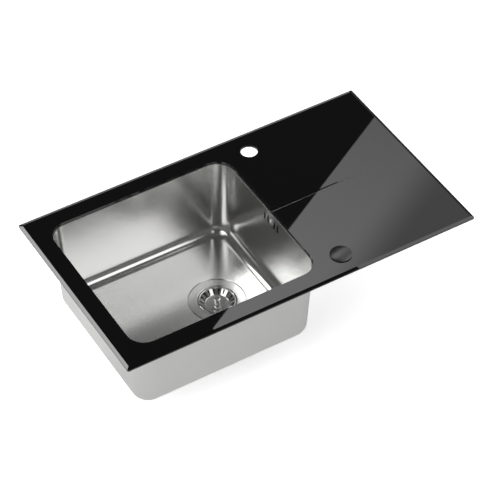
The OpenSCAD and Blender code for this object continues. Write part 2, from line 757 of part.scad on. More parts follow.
// A box behind the slots, with a boss for the screw and a collar and spigot below
module overflow_housing() {
    color(grey_plastic) difference() {
        union() {
            at_overflow() translate([over_gasket_t, -over_half, -over_high / 2])
                cube([over_deep, 2 * over_half, over_high]);
            translate([port_x, mid_y, hose_top]) cylinder(r = collar_r, h = collar_t + 4);
            translate([port_x, mid_y, hose_top - cuff + 4]) cylinder(r = spigot_r, h = cuff);
        }
        difference() {
            at_overflow() translate([over_gasket_t - cut, -over_half + over_wall,
                    -over_high / 2 + over_wall])
                cube([over_deep - over_wall + cut, 2 * (over_half - over_wall),
                    over_high - 2 * over_wall]);
            at_overflow() rotate([0, 90, 0]) cylinder(r = 5.5, h = over_deep);
        }
        at_overflow() translate([-cut, 0, 0]) rotate([0, 90, 0])
            cylinder(r = 20, h = cut + over_gasket_t);
        at_overflow() rotate([0, 90, 0]) cylinder(r = over_screw_r + 0.05, h = 16);
        translate([port_x, mid_y, hose_top - cuff]) cylinder(r = port_r,
            h = cuff + collar_t + 8);
    }
}

module overflow_screw() {
    color(steel) at_overflow() difference() {
        union() {
            translate([-sheet_t - 1.8, 0, 0]) rotate([0, 90, 0])
                cylinder(r = over_screw_r, h = 15.8);
            translate([-sheet_t - 3.6, 0, 0]) rotate([0, 90, 0]) cylinder(r1 = 3.6, r2 = 4.4, h = 1.8);
        }
        for (a = [0, 90]) rotate([a, 0, 0])
            translate([-sheet_t - 3.6 - cut, -0.6, -2.6]) cube([1.2 + cut, 1.2, 5.2]);
    }
}

module overflow_washer() {
    color(steel) at_overflow() translate([-sheet_t - 1.8, 0, 0]) rotate([0, 90, 0])
        tube(6, over_screw_r + 0.1, 1.5);
}

// Centre and direction of the hose at a distance along it, in the plane y = mid_y
function hose_at(s) = s < hose_drop
    ? [[port_x, mid_y, hose_top - s], [0, 0, -1]]
    : s < hose_drop + out_len
        ? let (a = (s - hose_drop) / hose_bend * 180 / PI)
            [[port_x + hose_bend * (1 - cos(a)), mid_y,
                hose_top - hose_drop - hose_bend * sin(a)], [sin(a), 0, -cos(a)]]
    : s < hose_len - hose_run
        ? let (a = (hose_len - hose_run - s) / hose_bend * 180 / PI)
            [[hose_end + hose_run + hose_bend * sin(a), mid_y,
                hose_low + hose_bend * (1 - cos(a))], [-cos(a), 0, -sin(a)]]
        : [[hose_end + hose_len - s, mid_y, hose_low], [-1, 0, 0]];

// Eight points round the hose, starting in its own plane
function hose_ring(s, r) = let (c = hose_at(s)[0], t = hose_at(s)[1])
    [for (i = [0:7]) let (a = 45 * i + 22.5)
        c + r * cos(a) * [-t[2], 0, t[0]] + r * sin(a) * [0, 1, 0]];

module overflow_hose() {
    ribs = floor((hose_len - 2 * cuff) / rib_pitch);
    pitch = (hose_len - 2 * cuff) / ribs;
    outer = concat([hose_ring(0, rib_r), hose_ring(cuff - pitch / 2, rib_r)],
        [for (i = [0:ribs - 1]) each [hose_ring(cuff + (i + 0.1) * pitch, root_r),
            hose_ring(cuff + (i + 0.6) * pitch, rib_r)]],
        [hose_ring(hose_len - cuff + 0.1 * pitch, root_r),
            hose_ring(hose_len - cuff + pitch / 2, rib_r), hose_ring(hose_len, rib_r)]);
    inner = [for (i = [0:ribs]) hose_ring(hose_len - i * hose_len / ribs, hose_bore_r)];
    color(grey_plastic) loop_loft(concat(outer, inner));
}

module hose_nuts() {
    color(black_plastic) for (end = [0, 1])
        translate(end == 0 ? [port_x, mid_y, hose_top - nut_w - 4] :
                [hose_end + 4, mid_y, hose_low])
            rotate(end == 0 ? [0, 0, 0] : [0, 90, 0]) difference() {
                cylinder(r = rib_r + 3, h = nut_w);
                translate([0, 0, -cut]) cylinder(r = rib_r + 0.05, h = nut_w + 2 * cut);
                for (i = [0:11]) rotate([0, 0, 30 * i]) translate([rib_r + 3.6, 0, -cut])
                    cylinder(r = 1.4, h = nut_w + 2 * cut);
            }
}

// Flat domed cap whose skirt goes down round the bezel, on a stem that turns in the bezel
module control_knob() {
    chamfer = 0.2;
    dome_steps = 6;
    face_r = knob_r - chamfer;
    edge_z = cap_z + knob_h - knob_dome;
    skirt_z = top_z + knob_gap;
    skirt_bore = knob_r - skirt_t;
    color(black_plastic) at_knob() difference() {
        rotate_extrude() polygon(concat(
            [[0, web_z - 1], [stem_r, web_z - 1], [stem_r, cap_z], [skirt_bore, cap_z],
                [skirt_bore, skirt_z], [knob_r, skirt_z], [knob_r, edge_z - chamfer]],
            [for (i = [0:dome_steps]) let (share = 1 - i / dome_steps)
                [face_r * share, edge_z + knob_dome * (1 - share * share)]]));
        translate([0, 0, web_z - 1 - cut]) cylinder(r = spindle_r + 0.02, h = cap_z - web_z);
    }
}

module control_spindle() {
    color(steel) at_knob() translate([0, 0, casing_low - 1.5])
        cylinder(r = spindle_r, h = cap_z - casing_low - 1);
}

module cable_drum() {
    color(brass) at_knob() difference() {
        translate([0, 0, drum_z]) union() {
            cylinder(r = drum_r, h = drum_flange_t);
            cylinder(r = wind_r, h = drum_h);
            translate([0, 0, drum_h - drum_flange_t]) cylinder(r = drum_r, h = drum_flange_t);
        }
        translate([0, 0, drum_z - cut]) cylinder(r = spindle_r + 0.02, h = drum_h + 2 * cut);
        translate([0, -wind_r - 1.8, cable_mid]) cylinder(r = 1.2, h = drum_h);
    }
}

// Ring on the glass with a threaded sleeve through it, and a web that the stem turns in
module control_bezel() {
    color(black_plastic) at_knob() difference() {
        union() {
            translate([0, 0, bezel_z]) cylinder(r = bezel_r, h = bezel_t);
            translate([0, 0, sleeve_low]) cylinder(r = sleeve_r, h = bezel_z - sleeve_low + cut);
        }
        translate([0, 0, sleeve_low - cut]) difference() {
            cylinder(r = sleeve_bore, h = bezel_z + bezel_t - sleeve_low + 2 * cut);
            translate([0, 0, web_z - sleeve_low + cut]) cylinder(r = sleeve_bore + cut, h = web_h);
        }
        translate([0, 0, web_z - cut]) cylinder(r = stem_r + run_gap, h = web_h + 2 * cut);
    }
}

module bezel_gasket() {
    color(rubber_black) at_knob() translate([0, 0, top_z])
        tube(bezel_r - 0.5, sleeve_r + 0.1, bezel_gasket_t);
}

module control_washer() {
    color(rubber_black) at_knob() translate([0, 0, under_z - washer_t])
        tube(nut_flat + 0.5, sleeve_r + 0.1, washer_t);
}

module control_nut() {
    color(grey_plastic) at_knob() translate([0, 0, under_z - washer_t - nut_h]) difference() {
        cylinder(r = nut_flat / cos(30), h = nut_h, $fn = 6);
        translate([0, 0, -cut]) cylinder(r = sleeve_r + 0.05, h = nut_h + 2 * cut);
    }
}

module control_housing() {
    color(grey_plastic) at_knob() difference() {
        union() {
            translate([0, 0, casing_low]) cylinder(r = casing_r, h = casing_h);
            translate([wind_r, casing_r - 4, cable_mid]) rotate([-90, 0, 0])
                cylinder(r = cable_hole_r + 1.2, h = 12);
        }
        translate([0, 0, casing_low - cut])
            cylinder(r = casing_r - casing_wall, h = casing_h - 6 + cut);
        translate([0, 0, sleeve_low]) cylinder(r = sleeve_r + 0.05, h = casing_h);
        translate([0, 0, casing_low]) cylinder(r = sleeve_bore, h = casing_h);
        translate([wind_r, casing_r - 8, cable_mid]) rotate([-90, 0, 0])
            cylinder(r = cable_hole_r, h = 24);
    }
}

module control_cover() {
    color(grey_plastic) at_knob() difference() {
        translate([0, 0, casing_low - 2]) union() {
            cylinder(r = casing_r, h = 2);
            translate([0, 0, 2]) tube(casing_r - casing_wall - 0.1, casing_r - casing_wall - 2, 2);
            cylinder(r = 6, h = 4);
        }
        translate([0, 0, casing_low - 1.5]) cylinder(r = spindle_r + run_gap, h = 8);
    }
}

module cable_ferrules() {
    color(brass) {
        translate([wire_x, pull_y - 1, cable_mid]) rotate([-90, 0, 0])
            tube(ferrule_r, cable_r + 0.1, ferrule_l);
        translate([drain_x + case_right - 3, mid_y, cable_low]) rotate([0, 90, 0])
            tube(ferrule_r, cable_r + 0.1, ferrule_l);
    }
}

// A smooth curve through the route's points
function blend(p, i, t) = let (a = p[max(i - 1, 0)], b = p[i], c = p[i + 1],
        d = p[min(i + 2, len(p) - 1)], t2 = t * t, t3 = t2 * t)
    0.5 * (2 * b + t * (c - a) + t2 * (2 * a - 5 * b + 4 * c - d) + t3 * (3 * b - a - 3 * c + d));
function smooth(p) = concat([for (i = [0:len(p) - 2]) for (k = [0:cable_steps - 1])
    blend(p, i, k / cable_steps)], [p[len(p) - 1]]);
function unit(v) = v / norm(v);

module control_cable() {
    path = smooth(route);
    last = len(path) - 1;
    rings = [for (i = [0:last])
        let (t = unit(path[min(i + 1, last)] - path[max(i - 1, 0)]),
             u = unit(cross(t, [1, 1, 1])), v = cross(u, t))
        [for (k = [0:cable_sides - 1]) let (a = 360 * k / cable_sides)
            path[i] + cable_r * (cos(a) * u + sin(a) * v)]];
    color(black_plastic) loft(rings);
}

glass_top();
rim_seal();
bowl();
bowl_adhesive();
drain_flange();
flange_gasket();
waste_gasket();
waste_body();
fixing_screw();
strainer_basket();
lifting_post();
seal_carrier();
basket_seal();
lift_pin();
pin_seal();
lift_lever();
lever_axle();
lift_housing();
lift_cover();
cover_screws();
overflow_gasket();
overflow_housing();
overflow_screw();
overflow_washer();
overflow_hose();
hose_nuts();
control_knob();
control_spindle();
cable_drum();
control_bezel();
bezel_gasket();
control_washer();
control_nut();
control_housing();
control_cover();
cable_ferrules();
control_cable();
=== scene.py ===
"""Looks of a glass kitchen sink: black plate, steel bowl, strainer waste and turning knob."""
from __future__ import annotations

import json
import logging
import math
from dataclasses import dataclass
from enum import Enum
from typing import Callable, Iterable, Sequence

import bpy
from mathutils import Matrix, Vector


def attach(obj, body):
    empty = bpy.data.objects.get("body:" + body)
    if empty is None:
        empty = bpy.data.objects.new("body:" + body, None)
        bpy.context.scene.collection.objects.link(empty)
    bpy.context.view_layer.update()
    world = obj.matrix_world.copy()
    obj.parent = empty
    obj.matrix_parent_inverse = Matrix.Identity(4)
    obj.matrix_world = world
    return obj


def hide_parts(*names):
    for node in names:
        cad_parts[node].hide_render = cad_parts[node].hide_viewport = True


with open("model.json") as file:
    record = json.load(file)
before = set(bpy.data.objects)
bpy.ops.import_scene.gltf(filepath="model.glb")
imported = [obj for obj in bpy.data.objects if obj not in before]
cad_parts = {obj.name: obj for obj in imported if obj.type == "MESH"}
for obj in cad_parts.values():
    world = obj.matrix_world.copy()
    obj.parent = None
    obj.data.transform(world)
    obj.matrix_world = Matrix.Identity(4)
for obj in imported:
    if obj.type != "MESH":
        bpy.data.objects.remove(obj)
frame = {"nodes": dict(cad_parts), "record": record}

LOG = logging.getLogger("sink")
MM = 0.001
NEAR = 0.00001
Point = tuple[float, float, float]
Colour = tuple[float, float, float]
Size = tuple[float, float]
Profile = Sequence[Size]
Test = Callable[[Vector], bool]
Socket = bpy.types.NodeSocket
Material = bpy.types.Material
Piece = bpy.types.Object


class Parts(Enum):
    """Elements of a mesh in the order of the select modes, by the names a bevel has for them."""

    POINTS = "VERTICES"
    EDGES = "EDGES"
    FACES = "FACES"


# Finishes


class Nodes:
    """Adds nodes to an empty node tree."""

    def __init__(self, tree: bpy.types.NodeTree) -> None:
        """Empties the tree before its first node."""
        self.nodes, self.links = tree.nodes, tree.links
        self.nodes.clear()

    def join(self, value: Socket | float | Sequence[float], socket: Socket) -> None:
        """Links a socket to another one, or gives it a plain value.

        Args:
            value: the other socket, or the value.
            socket: the socket that takes it.
        """
        if isinstance(value, bpy.types.NodeSocket):
            self.links.new(value, socket)
        else:
            socket.default_value = value

    def math(self, operation: str, *values: Socket | float) -> Socket:
        """Adds a Math node.

        Args:
            operation: what the node does.
            values: sockets or numbers for its inputs, in order.

        Returns:
            Its result.
        """
        node = self.nodes.new("ShaderNodeMath")
        node.operation = operation
        for value, socket in zip(values, node.inputs):
            self.join(value, socket)
        return node.outputs["Value"]

    def along(self, place: Socket, axis: str) -> Socket:
        """Splits a place into its coordinates.

        Args:
            place: the place.
            axis: which coordinate is wanted: X, Y or Z.

        Returns:
            That coordinate.
        """
        node = self.nodes.new("ShaderNodeSeparateXYZ")
        self.links.new(place, node.inputs["Vector"])
        return node.outputs[axis]

    def ranged(self, value: Socket, low: float, high: float, start: float = 0.3,
               end: float = 0.7, soft: bool = False) -> Socket:
        """Maps a value onto another range and holds it at the range's ends.

        Args:
            value: what is mapped.
            low: the result at start.
            high: the result at end.
            start: where the mapped range begins.
            end: where it ends.
            soft: True where the result eases in and out.

        Returns:
            The mapped value.
        """
        node = self.nodes.new("ShaderNodeMapRange")
        node.interpolation_type = "SMOOTHSTEP" if soft else "LINEAR"
        self.links.new(value, node.inputs["Value"])
        names = ("From Min", "From Max", "To Min", "To Max")
        for name, number in zip(names, (start, end, low, high)):
            node.inputs[name].default_value = number
        return node.outputs["Result"]


class Shade(Nodes):
    """One node material, built a node at a time."""

    def __init__(self, name: str, colour: Colour, roughness: float,
                 metallic: float = 0.0) -> None:
        """Starts a material with one Principled shader.

        Args:
            name: the material's name.
            colour: linear base colour.
            roughness: roughness of the surface, 0 to 1.
            metallic: 1 for a metal, otherwise 0.
        """
        self.material = bpy.data.materials.new(name)
        self.material.use_nodes = True
        super().__init__(self.material.node_tree)
        self.output = self.nodes.new("ShaderNodeOutputMaterial")
        self.surface = self.nodes.new("ShaderNodeBsdfPrincipled")
        self.links.new(self.surface.outputs["BSDF"], self.output.inputs["Surface"])
        self.drive("Base Color", (*colour, 1.0))
        self.drive("Roughness", roughness)
        self.drive("Metallic", metallic)
        self.place = self.nodes.new("ShaderNodeTexCoord").outputs["Object"]

    def drive(self, name: str, value: Socket | float | Sequence[float]) -> None:
        """Gives a socket of the surface's shader a value, or links one to it."""
        self.join(value, self.surface.inputs[name])

    def noise(self, scale: float, detail: float, stretch: Point = (1, 1, 1)) -> Socket:
        """Adds a noise over the surface.

        Args:
            scale: waves per metre.
            detail: octaves of finer noise.
            stretch: scale along each axis, small for long marks.

        Returns:
            The noise's value, 0 to 1.
        """
        mapping = self.nodes.new("ShaderNodeMapping")
        mapping.inputs["Scale"].default_value = stretch
        self.links.new(self.place, mapping.inputs["Vector"])
        node = self.nodes.new("ShaderNodeTexNoise")
        node.inputs["Scale"].default_value = scale
        node.inputs["Detail"].default_value = detail
        self.links.new(mapping.outputs["Vector"], node.inputs["Vector"])
        return node.outputs["Fac"]

    def mixed(self, factor: Socket, first: Colour, second: Colour | Socket) -> Socket:
        """Mixes two colours.

        Args:
            factor: 0 for the first colour, 1 for the second.
            first: the first colour.
            second: the second colour, plain or as a socket.

        Returns:
            The mixed colour.
        """
        node = self.nodes.new("ShaderNodeMix")
        node.data_type = "RGBA"
        self.links.new(factor, node.inputs["Factor"])
        node.inputs["A"].default_value = (*first, 1.0)
        self.join((*second, 1.0) if isinstance(second, tuple) else second, node.inputs["B"])
        return node.outputs["Result"]

    def bump(self, value: Socket, height: float) -> None:
        """Adds a relief to the surface.

        Args:
            value: the relief's shape, 0 to 1.
            height: its height in metres.
        """
        node = self.nodes.new("ShaderNodeBump")
        node.inputs["Strength"].default_value = 1.0
        node.inputs["Distance"].default_value = height
        self.links.new(value, node.inputs["Height"])
        self.drive("Normal", node.outputs["Normal"])


@dataclass(frozen=True)
class BlackGlass:
    """Polished glass, black on its back, with the faintest wipe marks."""

    name: str = "black_glass"
    colour: Colour = (0.0015, 0.0015, 0.0016)
    roughness: float = 0.012
    ior: float = 1.52
    wipe_stretch: Point = (0.35, 1.0, 1.0)

    def build(self) -> Material:
        """Returns the material."""
        shade = Shade(self.name, self.colour, self.roughness)
        shade.drive("IOR", self.ior)
        wipe = shade.noise(9.0, 4.0, self.wipe_stretch)
        gloss = shade.ranged(wipe, self.roughness * 0.5, self.roughness * 1.8)
        shade.drive("Roughness", gloss)
        return shade.material


@dataclass(frozen=True)
class Steel:
    """Stainless steel with a soft variation in gloss and tone, and a fine relief.

    Below a given height it takes another colour, as painted light and shade: lighter on the
    bowl's floor, darker in the drain's well where shade falls.
    """

    name: str
    colour: Colour
    roughness: float
    relief: float = 0.0000002
    painted_light_z: float | None = None
    painted_light_colour: Colour = (0.1, 0.1, 0.1)
    painted_light_fade: float = 0.004

    def build(self) -> Material:
        """Returns the material."""
        shade = Shade(self.name, self.colour, self.roughness, 1.0)
        cloud = shade.noise(5.0, 2.0)
        gloss = shade.ranged(cloud, self.roughness * 0.97, self.roughness * 1.03)
        shade.drive("Roughness", gloss)
        dull = tuple(c * 0.985 for c in self.colour)
        tone = shade.mixed(shade.noise(60.0, 5.0), dull, self.colour)
        # Painted light and shade: below the height the steel takes another colour, lighter on the
        # bowl's floor and darker in the drain's well.
        if self.painted_light_z is not None:
            rise = shade.ranged(shade.along(shade.place, "Z"), 0.0, 1.0, self.painted_light_z,
                                self.painted_light_z + self.painted_light_fade)
            tone = shade.mixed(rise, self.painted_light_colour, tone)
        shade.drive("Base Color", tone)
        if self.relief:
            shade.bump(shade.noise(2600.0, 2.0), self.relief)
        return shade.material


@dataclass(frozen=True)
class Moulded:
    """Moulded plastic or rubber with a fine pebbled skin."""

    name: str
    colour: Colour
    roughness: float
    pebble: float = 0.00002
    scale: float = 900.0

    def build(self) -> Material:
        """Returns the material."""
        shade = Shade(self.name, self.colour, self.roughness)
        cloud = shade.noise(30.0, 4.0)
        matt = min(1.0, self.roughness * 1.15)
        shade.drive("Roughness", shade.ranged(cloud, self.roughness * 0.88, matt))
        pale = tuple(c * 1.25 for c in self.colour)
        shade.drive("Base Color", shade.mixed(cloud, self.colour, pale))
        shade.bump(shade.noise(self.scale, 2.0), self.pebble)
        return shade.material


@dataclass(frozen=True)
class CastBrass:
    """Brass as it comes from the mould, slightly tarnished."""

    name: str = "cast_brass"
    colour: Colour = (0.58, 0.4, 0.16)
    tarnish: Colour = (0.33, 0.21, 0.09)
    roughness: Size = (0.3, 0.55)
    relief: float = 0.00004

    def build(self) -> Material:
        """Returns the material."""
        shade = Shade(self.name, self.colour, self.roughness[0], 1.0)
        spots = shade.noise(160.0, 5.0)
        spread = shade.ranged(spots, 0.0, 1.0, 0.45, 0.75)
        shade.drive("Base Color", shade.mixed(spread, self.colour, self.tarnish))
        shade.drive("Roughness", shade.ranged(spots, *self.roughness))
        shade.bump(shade.noise(700.0, 3.0), self.relief)
        return shade.material


# Modelling by hand


class Bench:
    """Steps on one new piece, all made with Blender's own operators."""

    def __init__(self, name: str, add: Callable[..., object], **values: object) -> None:
        """Adds a primitive, which becomes the bench's piece.

        Args:
            name: the piece's name.
            add: the operator that adds the primitive.
            values: what the operator is told.
        """
        bpy.ops.object.select_all(action="DESELECT")
        add(**values)
        self.object: Piece = bpy.context.object
        self.object.name = self.object.data.name = name

    def edit(self) -> None:
        """Enters edit mode with everything selected."""
        bpy.ops.object.mode_set(mode="EDIT")
        self.pick_all()

    def pick_all(self) -> None:
        """Selects the whole mesh in edit mode."""
        bpy.ops.mesh.select_all(action="SELECT")

    def leave(self) -> None:
        """Goes back to object mode, if the piece is in edit mode."""
        if self.object.mode != "OBJECT":
            bpy.ops.object.mode_set(mode="OBJECT")

    def alone(self) -> None:
        """Leaves edit mode and makes the piece active and the only one selected."""
        self.leave()
        bpy.ops.object.select_all(action="DESELECT")
        self.object.select_set(True)
        bpy.context.view_layer.objects.active = self.object

    def pick(self, kind: Parts, test: Test) -> None:
        """Selects elements by their place and enters edit mode.

        Args:
            kind: which elements are picked.
            test: says whether a point is wanted. It is asked about a point itself, the middle
                of a face, and the middle and both ends of an edge.
        """
        self.leave()
        mesh = self.object.data
        for elements in (mesh.vertices, mesh.edges, mesh.polygons):
            elements.foreach_set("select", [False] * len(elements))
        if kind is Parts.FACES:
            for face in mesh.polygons:
                face.select = test(face.center)
        elif kind is Parts.EDGES:
            for edge in mesh.edges:
                a, b = (mesh.vertices[i].co for i in edge.vertices)
                edge.select = all(test(point) for point in (a, (a + b) / 2, b))
        else:
            for vertex in mesh.vertices:
                vertex.select = test(vertex.co)
        settings = bpy.context.scene.tool_settings
        settings.mesh_select_mode = tuple(kind is other for other in Parts)
        bpy.ops.object.mode_set(mode="EDIT")

    def round_off(self, radius: float, steps: int, what: Parts = Parts.EDGES) -> None:
        """Bevels the selected edges or points.

        Args:
            radius: size of the bevel in millimetres.
            steps: faces across it.
            what: EDGES or POINTS.
        """
        bpy.ops.mesh.bevel(offset=radius * MM, segments=steps, profile=0.5, affect=what.value)

    def inset(self, width: float) -> None:
        """Insets the selected faces by a width in millimetres."""
        bpy.ops.mesh.inset(thickness=width * MM, use_even_offset=True)

    def drop(self, moved: Point, about: Point, grow: Point = (1, 1, 1)) -> None:
        """Extrudes what is selected, then moves it and scales it about a point."""
        bpy.ops.mesh.extrude_region_move(TRANSFORM_OT_translate={"value": moved})
        bpy.ops.transform.resize(value=grow, center_override=about)

    def face_outwards(self) -> None:
        """Turns all the faces outwards, in edit mode."""
        self.pick_all()
        bpy.ops.mesh.normals_make_consistent(inside=False)

    def modify(self, kind: str, **values: object) -> Bench:
        """Adds a modifier and applies it.

        Args:
            kind: the modifier's kind.
            values: its settings.

        Returns:
            The bench itself.
        """
        self.leave()
        bpy.context.view_layer.objects.active = self.object
        modifier = self.object.modifiers.new(kind.lower(), kind)
        for name, value in values.items():
            setattr(modifier, name, value)
        bpy.ops.object.modifier_apply(modifier=modifier.name)
        return self

    def soften(self, width: float, steps: int, angle: float) -> Bench:
        """Bevels edges sharper than an angle in degrees; returns itself."""
        return self.modify("BEVEL", width=width * MM, segments=steps, limit_method="ANGLE",
                           angle_limit=math.radians(angle))

    def cut(self, tools: Iterable[Piece], how: str = "DIFFERENCE") -> Bench:
        """Cuts the piece with tools, or joins them to it, and deletes them.

        Args:
            tools: the pieces that cut.
            how: DIFFERENCE to cut, UNION to join.

        Returns:
            The bench itself.
        """
        for tool in list(tools):
            self.modify("BOOLEAN", operation=how, object=tool, solver="EXACT")
            bpy.data.objects.remove(tool, do_unlink=True)
        return self

    def smooth(self, angle: float) -> Bench:
        """Shades the piece smooth and keeps its flat faces flat.

        Args:
            angle: the sharpest angle that is shaded smooth, in degrees.

        Returns:
            The bench itself.
        """
        self.alone()
        bpy.ops.object.shade_smooth_by_angle(angle=math.radians(angle))
        return self.modify("WEIGHTED_NORMAL", mode="FACE_AREA", weight=50, keep_sharp=True)

    def settle(self) -> Piece:
        """Puts the piece's place into its mesh and returns the object."""
        self.alone()
        bpy.ops.object.transform_apply(location=True, rotation=True, scale=True)
        return self.object


def at_height(height: float) -> Test:
    """Returns a test for points at a height in metres."""
    return lambda point: abs(point.z - height) < NEAR


def in_metres(point: Point) -> Point:
    """Returns a point in millimetres as one in metres."""
    return tuple(c * MM for c in point)


def linked(thing: Piece) -> Piece:
    """Links an object into the scene and returns it."""
    bpy.context.scene.collection.objects.link(thing)
    return thing


def joined(piece: Piece, others: Sequence[Piece]) -> Piece:
    """Joins other pieces to a piece.

    Args:
        piece: the piece that they are joined to.
        others: the pieces that are joined.

    Returns:
        The joined piece.
    """
    bpy.ops.object.select_all(action="DESELECT")
    for part in (*others, piece):
        part.select_set(True)
    bpy.context.view_layer.objects.active = piece
    bpy.ops.object.join()
    return piece


def open_tube(name: str, profile: Profile, sides: int, low: float = 0.0) -> Bench:
    """Makes a tube along Z by extruding and widening a circle step by step.

    Args:
        name: the piece's name.
        profile: radius and height of each step, in millimetres.
        sides: faces round the tube.
        low: height in millimetres that the profile counts from.

    Returns:
        The bench with the tube, its ends open, in object mode.
    """
    radius, height = profile[0]
    bench = Bench(name, bpy.ops.mesh.primitive_circle_add, vertices=sides, radius=radius * MM,
                  fill_type="NOTHING", location=(0, 0, (low + height) * MM))
    bench.settle()
    bench.edit()
    for next_radius, next_height in profile[1:]:
        grow = next_radius / radius
        bpy.ops.mesh.extrude_edges_move(
            TRANSFORM_OT_translate={"value": (0, 0, (next_height - height) * MM)})
        bpy.ops.transform.resize(value=(grow, grow, 1),
                                 center_override=(0, 0, (low + next_height) * MM))
        radius, height = next_radius, next_height
    bench.leave()
    return bench


def turned(name: str, profile: Profile, sides: int, at: Point, closed: bool = False) -> Bench:
    """Turns a profile round the Z axis, and closes its ends.

    Args:
        name: the piece's name.
        profile: radius and height of each step, in millimetres.
        sides: faces round the piece.
        at: the axis point that heights count from, in millimetres.
        closed: True where the last step meets the first, as on a ring.

    Returns:
        The bench with the piece, in object mode, normals outwards.
    """
    bench = open_tube(name, profile, sides)
    if closed:
        bench.edit()
        bpy.ops.mesh.remove_doubles(threshold=NEAR)
    else:
        bench.pick(Parts.EDGES, lambda point: False)
        bpy.ops.mesh.select_non_manifold(extend=False, use_wire=False, use_boundary=True,
                                         use_multi_face=False, use_non_contiguous=False,
                                         use_verts=False)
        bpy.ops.mesh.edge_face_add()
    bench.face_outwards()
    bench.leave()
    bench.object.location = in_metres(at)
    bench.settle()
    return bench


def boxed(name: str, low: Point, high: Point) -> Bench:
    """Adds a box between two corners.

    Args:
        name: the piece's name.
        low: its lowest corner in millimetres.
        high: its highest corner in millimetres.

    Returns:
        The bench with the box, in object mode.
    """
    middle = tuple((a + b) / 2 * MM for a, b in zip(low, high))
    bench = Bench(name, bpy.ops.mesh.primitive_cube_add, size=1, location=middle)
    bench.object.scale = tuple((b - a) * MM for a, b in zip(low, high))
    bench.settle()
    return bench


def rounded_block(name: str, low: Point, high: Point, radius: float, steps: int) -> Bench:
    """Adds a box whose upright edges are rounded.

    Args:
        name: the piece's name.
        low: its lowest corner in millimetres.
        high: its highest corner in millimetres.
        radius: radius of the upright edges in millimetres.
        steps: faces round each edge.

    Returns:
        The bench with the block, in object mode.
    """
    bench = boxed(name, low, high)
    sides = [((a + b) / 2 * MM, (b - a) / 2 * MM) for a, b in zip(low, high)][:2]
    bench.pick(Parts.EDGES, lambda point: all(
        abs(abs(c - middle) - half) < NEAR for c, (middle, half) in zip(point, sides)))
    bench.round_off(radius, steps)
    bench.leave()
    return bench


def rounded_sheet(name: str, half: Size, at: Point, radius: float) -> Bench:
    """Adds a level sheet whose corners are rounded.

    Args:
        name: the piece's name.
        half: half its length and half its depth in millimetres.
        at: its middle in millimetres.
        radius: radius of its corners in millimetres.

    Returns:
        The bench with the sheet, in edit mode and selected all over.
    """
    bench = Bench(name, bpy.ops.mesh.primitive_plane_add, size=2, location=in_metres(at))
    bench.object.scale = (half[0] * MM, half[1] * MM, 1)
    bench.settle()
    bench.edit()
    bench.round_off(radius, 18, Parts.POINTS)
    bench.pick_all()
    return bench


def round_rod(name: str, radius: float, low: Point, high: Point, sides: int) -> Piece:
    """Adds a cylinder between the middles of its two ends.

    Args:
        name: the piece's name.
        radius: its radius in millimetres.
        low: the middle of one end in millimetres.
        high: the middle of the other end.
        sides: faces round it.

    Returns:
        The cylinder.
    """
    way = Vector(high) - Vector(low)
    return Bench(name, bpy.ops.mesh.primitive_cylinder_add, vertices=sides, radius=radius * MM,
                 depth=way.length * MM, location=(Vector(low) + Vector(high)) / 2 * MM,
                 rotation=way.to_track_quat("Z", "Y").to_euler()).settle()


def turn_about(piece: Piece, about: Point, angle: float) -> None:
    """Turns a piece's mesh about an upright axis at a place in millimetres, by radians."""
    centre = Matrix.Translation(Vector(about) * MM)
    piece.data.transform(centre @ Matrix.Rotation(angle, 4, "Z") @ centre.inverted())


def round_the_axis(piece: Piece, about: Point, count: int) -> Piece:
    """Copies a piece evenly round an upright axis and joins the copies to it.

    Args:
        piece: the piece that stands at the first place.
        about: the axis's place in millimetres.
        count: how many pieces there are in all.

    Returns:
        The joined piece.
    """
    copies = []
    for step in range(1, count):
        copy = linked(piece.copy())
        copy.data = piece.data.copy()
        turn_about(copy, about, 2 * math.pi * step / count)
        copies.append(copy)
    return joined(piece, copies)


def dress(piece: Piece, finish: Material) -> None:
    """Gives a piece one material in all its slots.

    Args:
        piece: the piece.
        finish: its material.
    """
    slots = piece.data.materials
    if not slots:
        slots.append(finish)
    for index in range(len(slots)):
        slots[index] = finish


def place(piece: Piece, finish: Material, node: str, slot: str, body: str = "sink") -> Piece:
    """Dresses a finished piece and lets it stand for a CAD node.

    Args:
        piece: the new piece.
        finish: its material.
        node: the CAD node that it replaces.
        slot: the record's material slot; not used.
        body: the body that it rides on.

    Returns:
        The piece.
    """
    dress(piece, finish)
    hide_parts(node)
    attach(piece, body)
    return piece


# The object's pieces


@dataclass
class Layout:
    """Places that the pieces share, in millimetres, as the frame has them."""

    opening_x: float = -145.0
    mid_y: float = 212.0
    flange_z: float = -0.5
    depth: float = 178.6
    drain_x: float = -69.0
    under_z: float = 1.5
    top_z: float = 6.5
    opening_w: float = 400.0
    opening_d: float = 361.0
    opening_r: float = 38.0
    knob_x: float = 107.0
    knob_y: float = 41.0
    tap_x: float = 107.0
    tap_y: float = 380.5
    hole_r: float = 17.5
    overflow_down: float = 21.0
    overflow_shift: float = 4.0

    @property
    def floor_z(self) -> float:
        """Height of the bowl's floor."""
        return self.flange_z - self.depth

    @property
    def drain(self) -> Point:
        """The drain's axis at the height of the bowl's floor."""
        return (self.drain_x, self.mid_y, self.floor_z)

    @property
    def overflow_z(self) -> float:
        """Height of the overflow's middle."""
        return self.flange_z - self.overflow_down

    @property
    def overflow_y(self) -> float:
        """Place of the overflow's middle from front to rear."""
        return self.mid_y - self.overflow_shift


